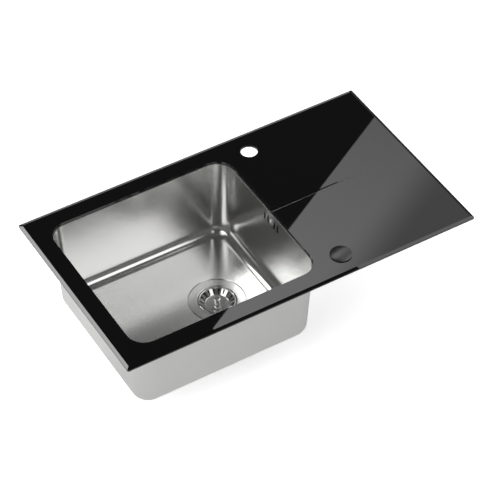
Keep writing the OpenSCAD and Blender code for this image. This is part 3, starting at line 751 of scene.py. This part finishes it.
@dataclass
class Bowl:
    """The pressed bowl: flange, leaning walls, round floor edge, drain recess and slots."""

    layout: Layout
    half_x: float = 199.8
    half_y: float = 180.3
    corner: float = 36.0
    floor_edge: float = 21.0
    lean: float = 7.8
    sheet: float = 0.8
    flange: float = 14.2
    lip: float = 0.3
    recess: float = 58.5
    recess_depth: float = 2.0
    hole: float = 45.0
    slot_pitch: float = 11.6
    slot_width: float = 5.2
    slot_length: float = 19.5
    screw_hole: float = 2.7
    cutter_length: float = 8.0
    floor_ring: float = 1.0
    floor_reach: float = 30.0

    def shell(self) -> Bench:
        """Returns the bowl as one sheet with thickness, before its holes are cut."""
        lay = self.layout
        inner_x, inner_y = self.half_x - self.sheet, self.half_y - self.sheet
        rim = self.flange + self.sheet
        at = (lay.opening_x, lay.mid_y, lay.flange_z)
        middle = in_metres(at)
        bench = rounded_sheet("steel_bowl", (inner_x + rim, inner_y + rim), at,
                              self.corner - self.sheet + rim)
        bench.inset(rim)
        grow = ((inner_x - self.lean) / inner_x, (inner_y - self.lean) / inner_y, 1)
        bench.drop((0, 0, -lay.depth * MM), middle, grow)
        on_floor, on_rim = at_height(lay.floor_z * MM), at_height(lay.flange_z * MM)
        bench.pick(Parts.EDGES, on_floor)
        bench.round_off(self.floor_edge - self.sheet, 9)
        mouth_x, mouth_y = (inner_x + 1) * MM, (inner_y + 1) * MM
        bench.pick(Parts.EDGES, lambda point: on_rim(point)
                   and abs(point.x - middle[0]) < mouth_x
                   and abs(point.y - middle[1]) < mouth_y)
        bench.round_off(self.lip, 3)
        bench.pick(Parts.FACES, lambda point: on_floor(point)
                   and abs(point.x - middle[0]) < self.floor_reach * MM)
        bench.inset(self.floor_ring)
        return bench.modify("SOLIDIFY", thickness=self.sheet * MM, offset=-1.0,
                            use_even_offset=True)

    def wall_cutter(self, name: str, radius: float, y: float) -> Bench:
        """Adds a short cylinder through the right wall at the overflow's height.

        Args:
            name: the cutter's name.
            radius: its radius in millimetres.
            y: the place of its middle from front to rear, in millimetres.

        Returns:
            The bench with the cylinder, in object mode.
        """
        lay = self.layout
        wall = lay.opening_x + self.half_x - self.lean * lay.overflow_down / lay.depth
        bench = Bench(name, bpy.ops.mesh.primitive_cylinder_add, vertices=24, radius=radius * MM,
                      depth=self.cutter_length * MM, rotation=(0, math.pi / 2, 0),
                      location=in_metres((wall, y, lay.overflow_z)))
        bench.settle()
        return bench

    def slot_tools(self) -> list[Piece]:
        """Returns the cutters of the overflow slots and of the screw's hole."""
        lay = self.layout
        height = lay.overflow_z * MM
        reach = (self.slot_length - self.slot_width) / 2 * MM
        tools = []
        for step in (-2, -1, 1, 2):
            bench = self.wall_cutter("slot_cutter", self.slot_width / 2,
                                     lay.overflow_y + step * self.slot_pitch)
            bench.pick(Parts.POINTS, lambda point: point.z > height)
            bpy.ops.transform.translate(value=(0, 0, reach))
            bench.pick(Parts.POINTS, lambda point: point.z < height)
            bpy.ops.transform.translate(value=(0, 0, -reach))
            bench.leave()
            tools.append(bench.object)
        screw = self.wall_cutter("screw_cutter", self.screw_hole, lay.overflow_y)
        return [*tools, screw.object]

    def build(self, finish: Material) -> Piece:
        """Builds the bowl.

        Args:
            finish: the material.

        Returns:
            The finished bowl, in place and dressed.
        """
        drain = self.layout.drain
        bench = self.shell()
        outer, low = self.recess + self.sheet, -self.recess_depth - self.sheet
        pan = turned("recess_pan", [(outer - 0.8, low), (outer, low + 0.8), (outer, -0.35)],
                     120, drain)
        bench.cut([pan.object], "UNION")
        well = turned("recess_cutter", [
            (self.recess - 0.6, -self.recess_depth), (self.recess, -self.recess_depth + 0.6),
            (self.recess, -0.45), (self.recess + 0.45, 0.0), (self.recess + 0.5, 3.0)], 120, drain)
        hole = turned("hole_cutter", [(self.hole, -6), (self.hole, 3)], 96, drain)
        bench.cut([well.object, hole.object] + self.slot_tools())
        return place(bench.smooth(32).settle(), finish, "bowl", "bowl_steel")


@dataclass
class GlassTop:
    """The black plate: bevelled edge, bowl opening, two round holes and a tapering groove."""

    layout: Layout
    width: float = 770.0
    depth: float = 440.0
    front: float = -8.0
    corner: float = 3.0
    bevel_width: float = 6.2
    bevel_height: float = 1.8
    groove_width: float = 7.0
    groove_depth: float = 1.5
    groove_length: float = 288.0
    groove_bottom: float = 0.12
    edge: float = 0.25
    cut_low: float = -5.0
    cut_high: float = 12.0

    def slab(self) -> Bench:
        """Returns the plate with its wide bevel, before anything is cut."""
        lay = self.layout
        rim = lay.top_z - self.bevel_height
        bench = rounded_block("glass_plate", (-self.width / 2, self.front, lay.under_z),
                              (self.width / 2, self.front + self.depth, rim), self.corner, 6)
        bench.pick(Parts.FACES, at_height(rim * MM))
        grow = (1 - 2 * self.bevel_width / self.width, 1 - 2 * self.bevel_width / self.depth, 1)
        bench.drop((0, 0, self.bevel_height * MM), in_metres((0, lay.mid_y, lay.top_z)), grow)
        bench.leave()
        return bench

    def groove_tool(self) -> Piece:
        """Returns the cutter of the groove, deepest at the bowl and running out to the right."""
        lay = self.layout
        start, half = lay.opening_x + lay.opening_w / 2, self.groove_width / 2
        above = 3.0
        bench = boxed("groove_cutter", (start - 2, lay.mid_y - half, lay.top_z),
                      (start + self.groove_length, lay.mid_y + half, lay.top_z + above))
        low, end = lay.top_z * MM, (start + self.groove_length) * MM
        middle = in_metres((0, lay.mid_y, lay.top_z))
        bench.pick(Parts.POINTS, at_height(low))
        bpy.ops.transform.resize(value=(1, self.groove_bottom, 1), center_override=middle)
        bpy.ops.transform.translate(value=(0, 0, -self.groove_depth * MM))
        bench.pick(Parts.POINTS, lambda point: point.x > end - NEAR)
        bpy.ops.transform.translate(value=(0, 0, self.groove_depth * MM))
        bench.pick(Parts.POINTS, lambda point: point.z > low + 2 * MM)
        bpy.ops.transform.resize(value=(1, 1 + above / self.groove_depth, 1),
                                 center_override=middle)
        bench.leave()
        return bench.object

    def build(self, finish: Material) -> Piece:
        """Builds the plate.

        Args:
            finish: the material.

        Returns:
            The finished plate, in place and dressed.
        """
        lay = self.layout
        bench = self.slab()
        half_w, half_d = lay.opening_w / 2, lay.opening_d / 2
        opening = rounded_block(
            "opening_cutter", (lay.opening_x - half_w, lay.mid_y - half_d, self.cut_low),
            (lay.opening_x + half_w, lay.mid_y + half_d, self.cut_high), lay.opening_r, 24)
        holes = [round_rod("hole_cutter", lay.hole_r, (x, y, self.cut_low), (x, y, self.cut_high),
                           72)
                 for x, y in ((lay.knob_x, lay.knob_y), (lay.tap_x, lay.tap_y))]
        bench.cut([opening.object, *holes, self.groove_tool()])
        bench.soften(self.edge, 2, 30).smooth(13)
        return place(bench.settle(), finish, "glass_top", "black_glass")


@dataclass
class GlueBead:
    """The black bead that joins bowl and plate, wiped round at the opening's edge."""

    layout: Layout
    outer: float = 12.2
    play: float = 0.005
    slope: Profile = ((0.3, 1.3), (0.55, 0.69))

    def build(self, finish: Material) -> Piece:
        """Builds the bead.

        Args:
            finish: the material.

        Returns:
            The finished bead, in place and dressed.
        """
        lay = self.layout
        low, high = lay.flange_z + self.play, lay.under_z - self.play
        at = (lay.opening_x, lay.mid_y, low)
        bench = rounded_sheet(
            "glue_bead", (lay.opening_w / 2 + self.outer, lay.opening_d / 2 + self.outer), at,
            lay.opening_r + self.outer)
        bench.drop((0, 0, (high - low) * MM), in_metres(at))
        bench.inset(self.outer)
        for inwards, fall in self.slope:
            bench.inset(inwards)
            bpy.ops.transform.translate(value=(0, 0, -fall * MM))
        bench.pick(Parts.FACES, at_height(low * MM))
        bpy.ops.mesh.delete(type="ONLY_FACE")
        bench.pick(Parts.EDGES, at_height(low * MM))
        bpy.ops.mesh.bridge_edge_loops()
        bench.face_outwards()
        return place(bench.smooth(40).settle(), finish, "bowl_adhesive", "adhesive")


@dataclass
class DrainFlange:
    """The dish in the bowl's floor: rolled edge, straight well, sloping seat, water holes."""

    layout: Layout
    water_circle: float = 18.15
    water_hole: float = 6.5
    water_reach: Size = (-35.0, -29.0)
    holes: int = 6
    profile: Profile = (
        (5.6, -31.0), (27.2, -31.0), (27.65, -30.8), (27.8, -30.3), (27.8, -27.2), (28.0, -26.8),
        (38.55, -16.25), (38.8, -15.7), (38.8, -2.0), (38.95, -1.2), (39.35, -0.55),
        (39.95, -0.12), (40.7, 0.0), (56.5, 0.0), (56.85, -0.1), (57.0, -0.4), (57.0, -0.8),
        (41.2, -0.8), (40.2, -1.1), (39.6, -2.0), (39.6, -16.0), (28.6, -27.2), (28.6, -31.8),
        (5.6, -31.8), (5.6, -31.0))

    def build(self, finish: Material) -> Piece:
        """Builds the flange.

        Args:
            finish: the material.

        Returns:
            The finished flange, in place and dressed.
        """
        x, y, z = self.layout.drain
        x_hole = x + self.water_circle
        bench = turned("drain_dish", self.profile, 144, (x, y, z), closed=True)
        ends = [(x_hole, y, z + reach) for reach in self.water_reach]
        hole = round_rod("water_cutter", self.water_hole, *ends, 40)
        bench.cut([round_the_axis(hole, (x, y, z), self.holes)])
        return place(bench.smooth(30).settle(), finish, "drain_flange", "drain_steel")


@dataclass
class Strainer:
    """The lift-out strainer: a pressed basket with wedge slots, and a post to hold it by."""

    layout: Layout
    slots: int = 19
    slot_turn: float = 15.7
    slot_in: float = 26.0
    slot_out: float = 34.3
    slot_width: float = 4.2
    slot_taper: float = 0.5
    slot_reach: Size = (-20.0, 5.0)
    slot_corner: float = 0.5
    edge: float = 0.12
    basket: Profile = (
        (3.1, -11.4), (23.9, -11.4), (24.5, -11.3), (25.1, -10.95), (34.5, -2.3), (35.0, -1.6),
        (35.35, -1.0), (35.8, -0.7), (36.4, -0.6), (37.0, -0.65), (37.4, -0.85), (37.6, -1.3),
        (37.6, -2.2), (36.8, -2.2), (36.75, -1.6), (36.3, -1.45), (35.9, -1.75), (35.3, -2.6),
        (25.5, -11.7), (24.8, -12.1), (24.1, -12.2), (3.1, -12.2), (3.1, -11.4))
    post: Profile = (
        (3.0, -16.4), (3.0, -11.4), (6.9, -11.4), (6.75, -11.0), (6.3, -10.2), (5.95, -8.6),
        (5.75, -6.6), (5.75, -4.4), (5.95, -2.8), (6.5, -0.9), (7.15, 1.0), (7.45, 2.2),
        (7.5, 3.2), (7.5, 4.5), (7.35, 5.05), (6.95, 5.42), (6.3, 5.58), (4.4, 5.6), (0.05, 5.6))

    def slot_tool(self) -> Piece:
        """Returns the cutters of all the wedge slots as one piece."""
        x, y, z = self.layout.drain
        half, (low, high) = self.slot_width / 2, self.slot_reach
        bench = boxed("slot_cutter", (x + self.slot_in, y - half, z + low),
                      (x + self.slot_out, y + half, z + high))
        start = (x + self.slot_in) * MM
        bench.pick(Parts.POINTS, lambda point: abs(point.x - start) < NEAR)
        bpy.ops.transform.resize(value=(1, self.slot_taper, 1),
                                 center_override=(start, y * MM, z * MM))
        bench.soften(self.slot_corner, 3, 40)
        turn_about(bench.object, self.layout.drain, math.radians(self.slot_turn))
        return round_the_axis(bench.object, self.layout.drain, self.slots)

    def build(self, finish: Material) -> list[Piece]:
        """Builds the basket and the post.

        Args:
            finish: the material.

        Returns:
            The basket and the post, in place and dressed.
        """
        drain = self.layout.drain
        bench = turned("basket", self.basket, 160, drain, closed=True)
        bench.cut([self.slot_tool()])
        bench.soften(self.edge, 2, 55).smooth(35)
        basket = place(bench.settle(), finish, "strainer_basket", "drain_steel", "strainer")
        post = turned("grip_post", self.post, 72, drain).smooth(35)
        return [basket, place(post.settle(), finish, "lifting_post", "drain_steel", "strainer")]


@dataclass
class Knob:
    """The round control: a flat domed cap with a skirt round its bezel, on a stem."""

    layout: Layout
    radius: float = 21.8
    edge_z: float = 8.5
    dome: float = 1.1
    rings: int = 12
    rim: float = 0.3
    pole: float = 0.05
    under: Profile = (
        (0.05, 7.0), (3.02, 7.0), (3.02, -1.5), (6.0, -1.5), (6.0, 8.0), (20.6, 8.0),
        (20.6, 6.8), (21.7, 6.8))
    round_edge: Profile = ((0.0, -1.6), (0.0, -0.28), (-0.05, -0.12), (-0.16, -0.03))

    def profile(self) -> Profile:
        """Returns the knob's outline from its bore, round its skirt and over its face."""
        edge = [(self.radius + r, self.edge_z + z) for r, z in self.round_edge]
        face = self.radius - self.rim
        shares = [1 - i / self.rings for i in range(self.rings)] + [self.pole / face]
        return [*self.under, *edge,
                *((face * s, self.edge_z + self.dome * (1 - s * s)) for s in shares)]

    def build(self, finish: Material) -> Piece:
        """Builds the knob.

        Args:
            finish: the material.

        Returns:
            The finished knob, in place and dressed.
        """
        at = (self.layout.knob_x, self.layout.knob_y, 0)
        bench = turned("round_knob", self.profile(), 128, at).smooth(35)
        return place(bench.settle(), finish, "control_knob", "knob_black", "control")


@dataclass
class OverflowScrew:
    """The cross-headed screw between the overflow's slots."""

    layout: Layout
    wall_x: float = 53.882
    tilt: float = 2.5007
    cross: Size = (2.6, 0.6)
    cross_from: float = -6.0
    cross_to: float = -3.2
    profile: Profile = (
        (2.5, 13.2), (2.5, -2.6), (4.4, -2.6), (4.4, -3.0), (4.2, -3.5), (3.7, -3.95),
        (2.9, -4.25), (1.8, -4.38), (0.05, -4.4))

    def build(self, finish: Material) -> Piece:
        """Builds the screw.

        Args:
            finish: the material.

        Returns:
            The finished screw, in place and dressed.
        """
        lay = self.layout
        bench = turned("overflow_bolt", self.profile, 48, (0, 0, 0))
        bench.cut([boxed("cross_cutter", (-x, -y, self.cross_from), (x, y, self.cross_to)).object
                   for x, y in (self.cross, self.cross[::-1])])
        stand = Matrix.Translation(in_metres((self.wall_x, lay.overflow_y, lay.overflow_z)))
        lie = Matrix.Rotation(math.radians(90 + self.tilt), 4, "Y")
        bench.object.data.transform(stand @ lie)
        return place(bench.smooth(35).settle(), finish, "overflow_screw", "drain_steel")


@dataclass
class Hose:
    """The ribbed overflow hose, which bulges outwards and comes back under the bowl."""

    start: Point = (71.777, 212.0, -42.5)
    end: Point = (-16.0, 212.0, -205.4)
    drop: float = 21.564
    run: float = 20.0
    bend: float = 80.0
    lean: float = 22.541
    cuff: float = 20.0
    rib: float = 10.0
    root: float = 8.8
    wall: float = 1.0
    pitch: float = 4.0
    sides: int = 40
    line_steps: int = 460
    path_steps: int = 60

    @property
    def length(self) -> float:
        """Length of the hose along its middle, in millimetres."""
        turns = math.radians(self.lean) + math.radians(90 + self.lean)
        return self.drop + self.bend * turns + self.run

    def at(self, along: float) -> Point:
        """Finds the middle of the hose at a distance along it.

        Args:
            along: the distance from its start in millimetres.

        Returns:
            The point in millimetres.
        """
        x, y, z = self.start
        out = self.bend * math.radians(self.lean)
        left = self.length - self.run - along
        if along <= self.drop:
            return (x, y, z - along)
        if along <= self.drop + out:
            a = (along - self.drop) / self.bend
            return (x + self.bend * (1 - math.cos(a)), y,
                    z - self.drop - self.bend * math.sin(a))
        if left > 0:
            a = left / self.bend
            return (self.end[0] + self.run + self.bend * math.sin(a), y,
                    self.end[2] + self.bend * (1 - math.cos(a)))
        return (self.end[0] + self.length - along, y, self.end[2])

    def line(self) -> Piece:
        """Returns the hose's middle line as a curve."""
        data = bpy.data.curves.new("hose_line", "CURVE")
        data.dimensions = "3D"
        data.twist_mode = "Z_UP"
        spline = data.splines.new("POLY")
        spline.points.add(self.line_steps)
        for index, point in enumerate(spline.points):
            point.co = (*in_metres(self.at(self.length * index / self.line_steps)), 1.0)
        return linked(bpy.data.objects.new("hose_line", data))

    def tube(self) -> Bench:
        """Returns the hose as a straight ribbed tube along Z, from 0 to its length."""
        cuff, rib, root = self.cuff, self.rib, self.root
        ribs = math.floor((self.length - 2 * cuff) / self.pitch)
        pitch = (self.length - 2 * cuff) / ribs
        swell = [(root, 0.0), (root, 0.12), (root + 0.35, 0.2), (rib - 0.3, 0.3), (rib, 0.42),
                 (rib, 0.6), (rib - 0.3, 0.72), (root + 0.35, 0.82), (root, 0.9), (root, 1.0)]
        bench = open_tube("ribbed_hose", [(r, z * pitch) for r, z in swell], self.sides, cuff)
        bench.modify("ARRAY", count=ribs, use_relative_offset=False, use_constant_offset=True,
                     constant_offset_displace=(0, 0, pitch * MM), use_merge_vertices=True,
                     merge_threshold=NEAR)
        ends = [(0.15, 0.0), (0.0, 0.3), (0.0, cuff - 2.0), (0.3, cuff - 1.0), (rib - root, cuff)]
        lower = open_tube("hose_cuff", [(rib - r, z) for r, z in ends], self.sides)
        upper = open_tube("hose_cuff", [(rib - r, cuff - z) for r, z in reversed(ends)],
                          self.sides, self.length - cuff)
        joined(bench.object, (lower.object, upper.object))
        bench.edit()
        bpy.ops.mesh.remove_doubles(threshold=NEAR)
        bench.face_outwards()
        bench.leave()
        return bench

    def build(self, finish: Material) -> Piece:
        """Builds the hose.

        Args:
            finish: the material.

        Returns:
            The finished hose, in place and dressed.
        """
        bench = self.tube()
        bench.modify("SOLIDIFY", thickness=self.wall * MM, offset=-1.0)
        curve = self.line()
        bench.modify("CURVE", object=curve, deform_axis="POS_Z")
        bpy.data.objects.remove(curve, do_unlink=True)
        piece = place(bench.smooth(50).settle(), finish, "overflow_hose", "grey_plastic")
        return piece


@dataclass
class Cable:
    """The smooth control cable between the two housings."""

    radius: float = 2.5
    measured: int = 200
    route: tuple[Point, ...] = (
        (112.66, 63.0, -16.5), (112.66, 75.0, -16.5), (112.66, 87.0, -16.5),
        (114.0, 97.0, -23.56), (117.0, 112.0, -42.39), (121.0, 126.0, -70.64),
        (124.0, 138.0, -101.24), (124.0, 150.0, -134.2), (121.0, 162.0, -165.98),
        (110.0, 176.0, -195.4), (95.0, 190.0, -221.3), (74.0, 202.0, -238.95),
        (48.0, 210.0, -250.72), (24.0, 212.0, -251.9), (4.0, 212.0, -251.9),
        (-33.0, 212.0, -251.9))

    def build(self, finish: Material) -> Piece:
        """Builds the cable.

        Args:
            finish: the material.

        Returns:
            The finished cable, in place and dressed.
        """
        data = bpy.data.curves.new("pull_cable", "CURVE")
        data.dimensions = "3D"
        data.bevel_depth = self.radius * MM
        data.bevel_resolution = 6
        data.use_fill_caps = True
        spline = data.splines.new("BEZIER")
        spline.resolution_u = 12
        spline.bezier_points.add(len(self.route) - 1)
        points = [Vector(p) * MM for p in self.route]
        last = len(points) - 1
        for index, (here, knot) in enumerate(zip(points, spline.bezier_points)):
            slope = (points[min(index + 1, last)] - points[max(index - 1, 0)]) / 6
            knot.co, knot.handle_left, knot.handle_right = here, here - slope, here + slope
        piece = linked(bpy.data.objects.new("pull_cable", data))
        place(piece, finish, "control_cable", "black_plastic")
        return piece


# The studio


@dataclass
class Studio:
    """Camera, pale floor and soft lights, placed as the photograph was taken.

    The rows of boxes and of lamps are what the methods box and lamp ask for.
    """

    target: Point = (-35.85, 140.686, 6.5)
    azimuth: float = -31.162
    elevation: float = 45.274
    distance: float = 4182.0
    lens: float = 157.246
    floor_z: float = -288.0
    floor_size: float = 24.0
    floor_glow: float = 0.55
    floor_mirrored: float = 0.04
    world_level: float = 0.5
    horizon: float = 2.0
    horizon_end: float = 0.15
    ceiling: float = 0.08
    ceiling_start: float = 0.38
    card_z: float = 1.6065
    border: float = 0.845
    border_turn: float = -30.0
    border_fade: float = 0.16
    strip_middle: float = 1.7
    strip_length: float = 1.2
    strip_width: float = 0.5
    strip_level: float = 1.0
    strip_near: float = 1.9
    strip_far: float = 0.45
    apron_length: float = 1.8
    apron_width: float = 0.9
    apron_level: float = 2.4
    bowl: Point = (-0.145, 0.212, -0.05)
    reach: float = 5.0
    boxes: tuple[tuple[str, float, float, Size, float], ...] = (
        ("box_front", -66.0, 41.5, (28.0, 25.0), 1.9),
        ("box_rear_bright", 107.0, 50.0, (9.0, 11.0), 8.0),
        ("box_rear_low", 67.0, 3.5, (34.0, 13.0), 5.0),
        ("box_rear_left", 119.0, 46.0, (20.0, 20.0), 2.8),
        ("box_left_top", 152.0, 62.0, (40.0, 20.0), 1.4),
        ("box_left", 186.0, 43.0, (30.0, 14.0), 3.0))
    lamps: tuple[tuple[str, Point, Point, Size, float], ...] = (
        ("key_left", (-2.2, -1.2, 2.6), (-0.1, 0.2, -0.1), (1.6, 1.6), 60.0),
        ("key_rear", (1.0, 2.6, 2.4), (-0.1, 0.2, 0.0), (2.0, 1.4), 40.0))

    def camera(self) -> None:
        """Creates the camera at the photograph's angle."""
        a, e = math.radians(self.azimuth), math.radians(self.elevation)
        back = Vector((math.sin(a) * math.cos(e), -math.cos(a) * math.cos(e), math.sin(e)))
        data = bpy.data.cameras.new("camera")
        data.lens = self.lens
        data.sensor_width = 36.0
        data.clip_start, data.clip_end = 0.1, 60.0
        camera = linked(bpy.data.objects.new("camera", data))
        camera.location = (Vector(self.target) + back * self.distance) * MM
        camera.rotation_mode = "QUATERNION"
        camera.rotation_quaternion = (-back).to_track_quat("-Z", "Y")
        bpy.context.scene.camera = camera

    def floor(self) -> None:
        """Lays a plain pale floor that turns white for the camera and keeps the shadow."""
        floor = Bench("floor", bpy.ops.mesh.primitive_plane_add, size=self.floor_size,
                      location=(0, 0, self.floor_z * MM)).object
        shade = Shade("pale_floor", (0.9, 0.9, 0.9), 0.9)
        glow = shade.nodes.new("ShaderNodeEmission")
        add = shade.nodes.new("ShaderNodeAddShader")
        rays = shade.nodes.new("ShaderNodeLightPath").outputs
        seen = shade.math("MAXIMUM", rays["Is Camera Ray"], rays["Is Transmission Ray"])
        shown = shade.math("MULTIPLY", seen, self.floor_glow)
        level = shade.math("MULTIPLY_ADD", rays["Is Glossy Ray"], self.floor_mirrored, shown)
        shade.join(level, glow.inputs["Strength"])
        shade.join(shade.surface.outputs["BSDF"], add.inputs[0])
        shade.join(glow.outputs["Emission"], add.inputs[1])
        shade.join(add.outputs["Shader"], shade.output.inputs["Surface"])
        dress(floor, shade.material)

    def world(self) -> None:
        """Makes the surroundings: white where seen, bright low down where mirrored."""
        world = bpy.data.worlds.new("studio")
        bpy.context.scene.world = world
        world.use_nodes = True
        tree = Nodes(world.node_tree)
        output = tree.nodes.new("ShaderNodeOutputWorld")
        back = tree.nodes.new("ShaderNodeBackground")
        rays = tree.nodes.new("ShaderNodeLightPath").outputs
        seen = tree.math("MAXIMUM", rays["Is Camera Ray"], rays["Is Glossy Ray"])
        seen = tree.math("MAXIMUM", seen, rays["Is Transmission Ray"])
        plain = tree.ranged(seen, self.world_level, 1.0, 0.0, 1.0)
        way = tree.nodes.new("ShaderNodeTexCoord").outputs["Generated"]
        sky = tree.ranged(tree.along(way, "Z"), self.horizon, self.ceiling, self.horizon_end,
                          self.ceiling_start, soft=True)
        mirrored = tree.nodes.new("ShaderNodeMix")
        tree.join(rays["Is Glossy Ray"], mirrored.inputs["Factor"])
        tree.join(plain, mirrored.inputs["A"])
        tree.join(sky, mirrored.inputs["B"])
        tree.join(mirrored.outputs["Result"], back.inputs["Strength"])
        tree.join((1, 1, 1, 1), back.inputs["Color"])
        tree.join(back.outputs["Background"], output.inputs["Surface"])

    def lamp(self, name: str, at: Point, towards: Point, size: Size, power: float) -> None:
        """Hangs a soft rectangular lamp that mirrors don't show.

        Args:
            name: the lamp's name.
            at: its place in metres.
            towards: the point that it faces, in metres.
            size: its width and height in metres.
            power: its power in watts.
        """
        data = bpy.data.lights.new(name, "AREA")
        data.shape = "RECTANGLE"
        data.size, data.size_y = size
        data.energy = power
        lamp = linked(bpy.data.objects.new(name, data))
        lamp.location = at
        lamp.rotation_mode = "QUATERNION"
        lamp.rotation_quaternion = (Vector(towards) - Vector(at)).to_track_quat("-Z", "Y")
        lamp.visible_glossy = False

    def card(self, name: str, middle: Point, facing: Point, size: Size, level: float,
             turn: float = 0.0) -> Shade:
        """Hangs a card that only shiny surfaces mirror.

        Args:
            name: the card's name.
            middle: its middle in metres.
            facing: the point that it faces, in metres.
            size: its width and height in metres.
            level: how bright it is, where 1 is white and 0 is black.
            turn: how far it is turned in its own plane, in degrees.

        Returns:
            The shade of its glow, for a card whose level isn't even.
        """
        card = Bench(name, bpy.ops.mesh.primitive_plane_add, size=1.0, location=middle).object
        card.scale = (*size, 1.0)
        card.rotation_mode = "QUATERNION"
        look = (Vector(facing) - Vector(middle)).to_track_quat("Z", "Y")
        spin = Matrix.Rotation(math.radians(turn), 4, "Z").to_quaternion()
        card.rotation_quaternion = look @ spin
        shade = Shade(name, (0, 0, 0), 1.0)
        shade.nodes.remove(shade.surface)
        shade.surface = shade.nodes.new("ShaderNodeEmission")
        shade.drive("Strength", level)
        shade.join(shade.surface.outputs["Emission"], shade.output.inputs["Surface"])
        dress(card, shade.material)
        card.visible_camera = card.visible_diffuse = card.visible_shadow = False
        card.visible_transmission = card.visible_volume_scatter = False
        return shade

    def strip(self) -> None:
        """Hangs the bright strip whose straight border crosses the plate, and its apron."""
        turn = math.radians(self.border_turn)
        across = Vector((math.sin(turn), math.cos(turn), 0.0))
        along = Vector((math.cos(turn), -math.sin(turn), 0.0))
        down = Vector((0.0, 0.0, -1.0))
        edge = across * self.border + along * self.strip_middle - down * self.card_z
        middle = edge - across * (self.strip_width / 2)
        shade = self.card("bright_strip", middle, middle + down,
                          (self.strip_length, self.strip_width), self.strip_level,
                          self.border_turn)
        run = shade.ranged(shade.along(shade.place, "X"), self.strip_far, self.strip_near,
                           -0.5, 0.5)
        fade = shade.ranged(shade.along(shade.place, "Y"), 0.0, 1.0, -self.border_fade,
                            self.border_fade, soft=True)
        shade.drive("Strength", shade.math("MULTIPLY_ADD", run, fade, self.strip_level))
        apron = edge - across * (self.strip_width + self.apron_width / 2)
        self.card("bright_apron", apron, apron + down, (self.apron_length, self.apron_width),
                  self.apron_level, self.border_turn)

    def box(self, name: str, heading: float, rise: float, size: Size, level: float) -> None:
        """Hangs a soft box, seen in mirrors only, on a wide circle round the bowl.

        Args:
            name: its name.
            heading: its direction from the bowl in degrees, from +X towards +Y.
            rise: its height over the horizon in degrees.
            size: its width and height in degrees, as seen from the bowl.
            level: how bright it is.
        """
        a, e = math.radians(heading), math.radians(rise)
        way = Vector((math.cos(a) * math.cos(e), math.sin(a) * math.cos(e), math.sin(e)))
        spread = tuple(2 * self.reach * math.tan(math.radians(d) / 2) for d in size)
        self.card(name, Vector(self.bowl) + way * self.reach, self.bowl, spread, level)

    def build(self) -> None:
        """Sets the whole studio up."""
        bpy.context.scene.view_settings.view_transform = "Standard"
        self.camera()
        self.floor()
        self.world()
        self.strip()
        for box in self.boxes:
            self.box(*box)
        for lamp in self.lamps:
            self.lamp(*lamp)


FINISH_OF = {"brass": "cast_brass"}


def finishes() -> dict[str, Material]:
    """Returns each finish of the object by its name."""
    made = [
        BlackGlass(),
        # The bowl's floor is painted lighter than its walls: painted light.
        Steel("bowl_steel", (0.64, 0.64, 0.63), 0.215, relief=0.0, painted_light_z=-0.177,
              painted_light_colour=(0.74, 0.74, 0.73)),
        # The drain's well is painted dark below this height: painted shade.
        Steel("drain_steel", (0.62, 0.62, 0.61), 0.21, painted_light_z=-0.187),
        Steel("pressed_steel", (0.66, 0.66, 0.65), 0.15),
        Moulded("knob_black", (0.01, 0.01, 0.011), 0.145, 0.000001, 1500.0),
        Moulded("black_plastic", (0.014, 0.014, 0.015), 0.45),
        Moulded("grey_plastic", (0.2, 0.205, 0.21), 0.42),
        Moulded("black_rubber", (0.012, 0.012, 0.012), 0.7, 0.00003, 700.0),
        Moulded("foam_rubber", (0.016, 0.016, 0.016), 0.9, 0.00015, 420.0),
        Moulded("adhesive", (0.02, 0.02, 0.021), 0.5, 0.00005, 260.0),
        CastBrass(),
    ]
    return {finish.name: finish.build() for finish in made}


def main() -> None:
    """Builds the scene in order."""
    logging.basicConfig(level=logging.INFO, format="%(name)s: %(message)s")
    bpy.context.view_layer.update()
    Studio().build()
    looks = finishes()
    slot_of = {row["node"]: row["material_slot"] for row in frame["record"]["subparts"]}
    for node, piece in frame["nodes"].items():
        slot = slot_of[node]
        dress(piece, looks[FINISH_OF.get(slot, slot)])
        LOG.info("dressed %s", node)
    layout = Layout()
    made = [
        Cable().build(looks["black_plastic"]),
        Hose().build(looks["grey_plastic"]),
        GlassTop(layout).build(looks["black_glass"]),
        Bowl(layout).build(looks["bowl_steel"]),
        GlueBead(layout).build(looks["adhesive"]),
        DrainFlange(layout).build(looks["drain_steel"]),
        *Strainer(layout).build(looks["pressed_steel"]),
        Knob(layout).build(looks["knob_black"]),
        OverflowScrew(layout).build(looks["pressed_steel"]),
    ]
    LOG.info("built %s", ", ".join(piece.name for piece in made))


if __name__ == "__main__":
    main()
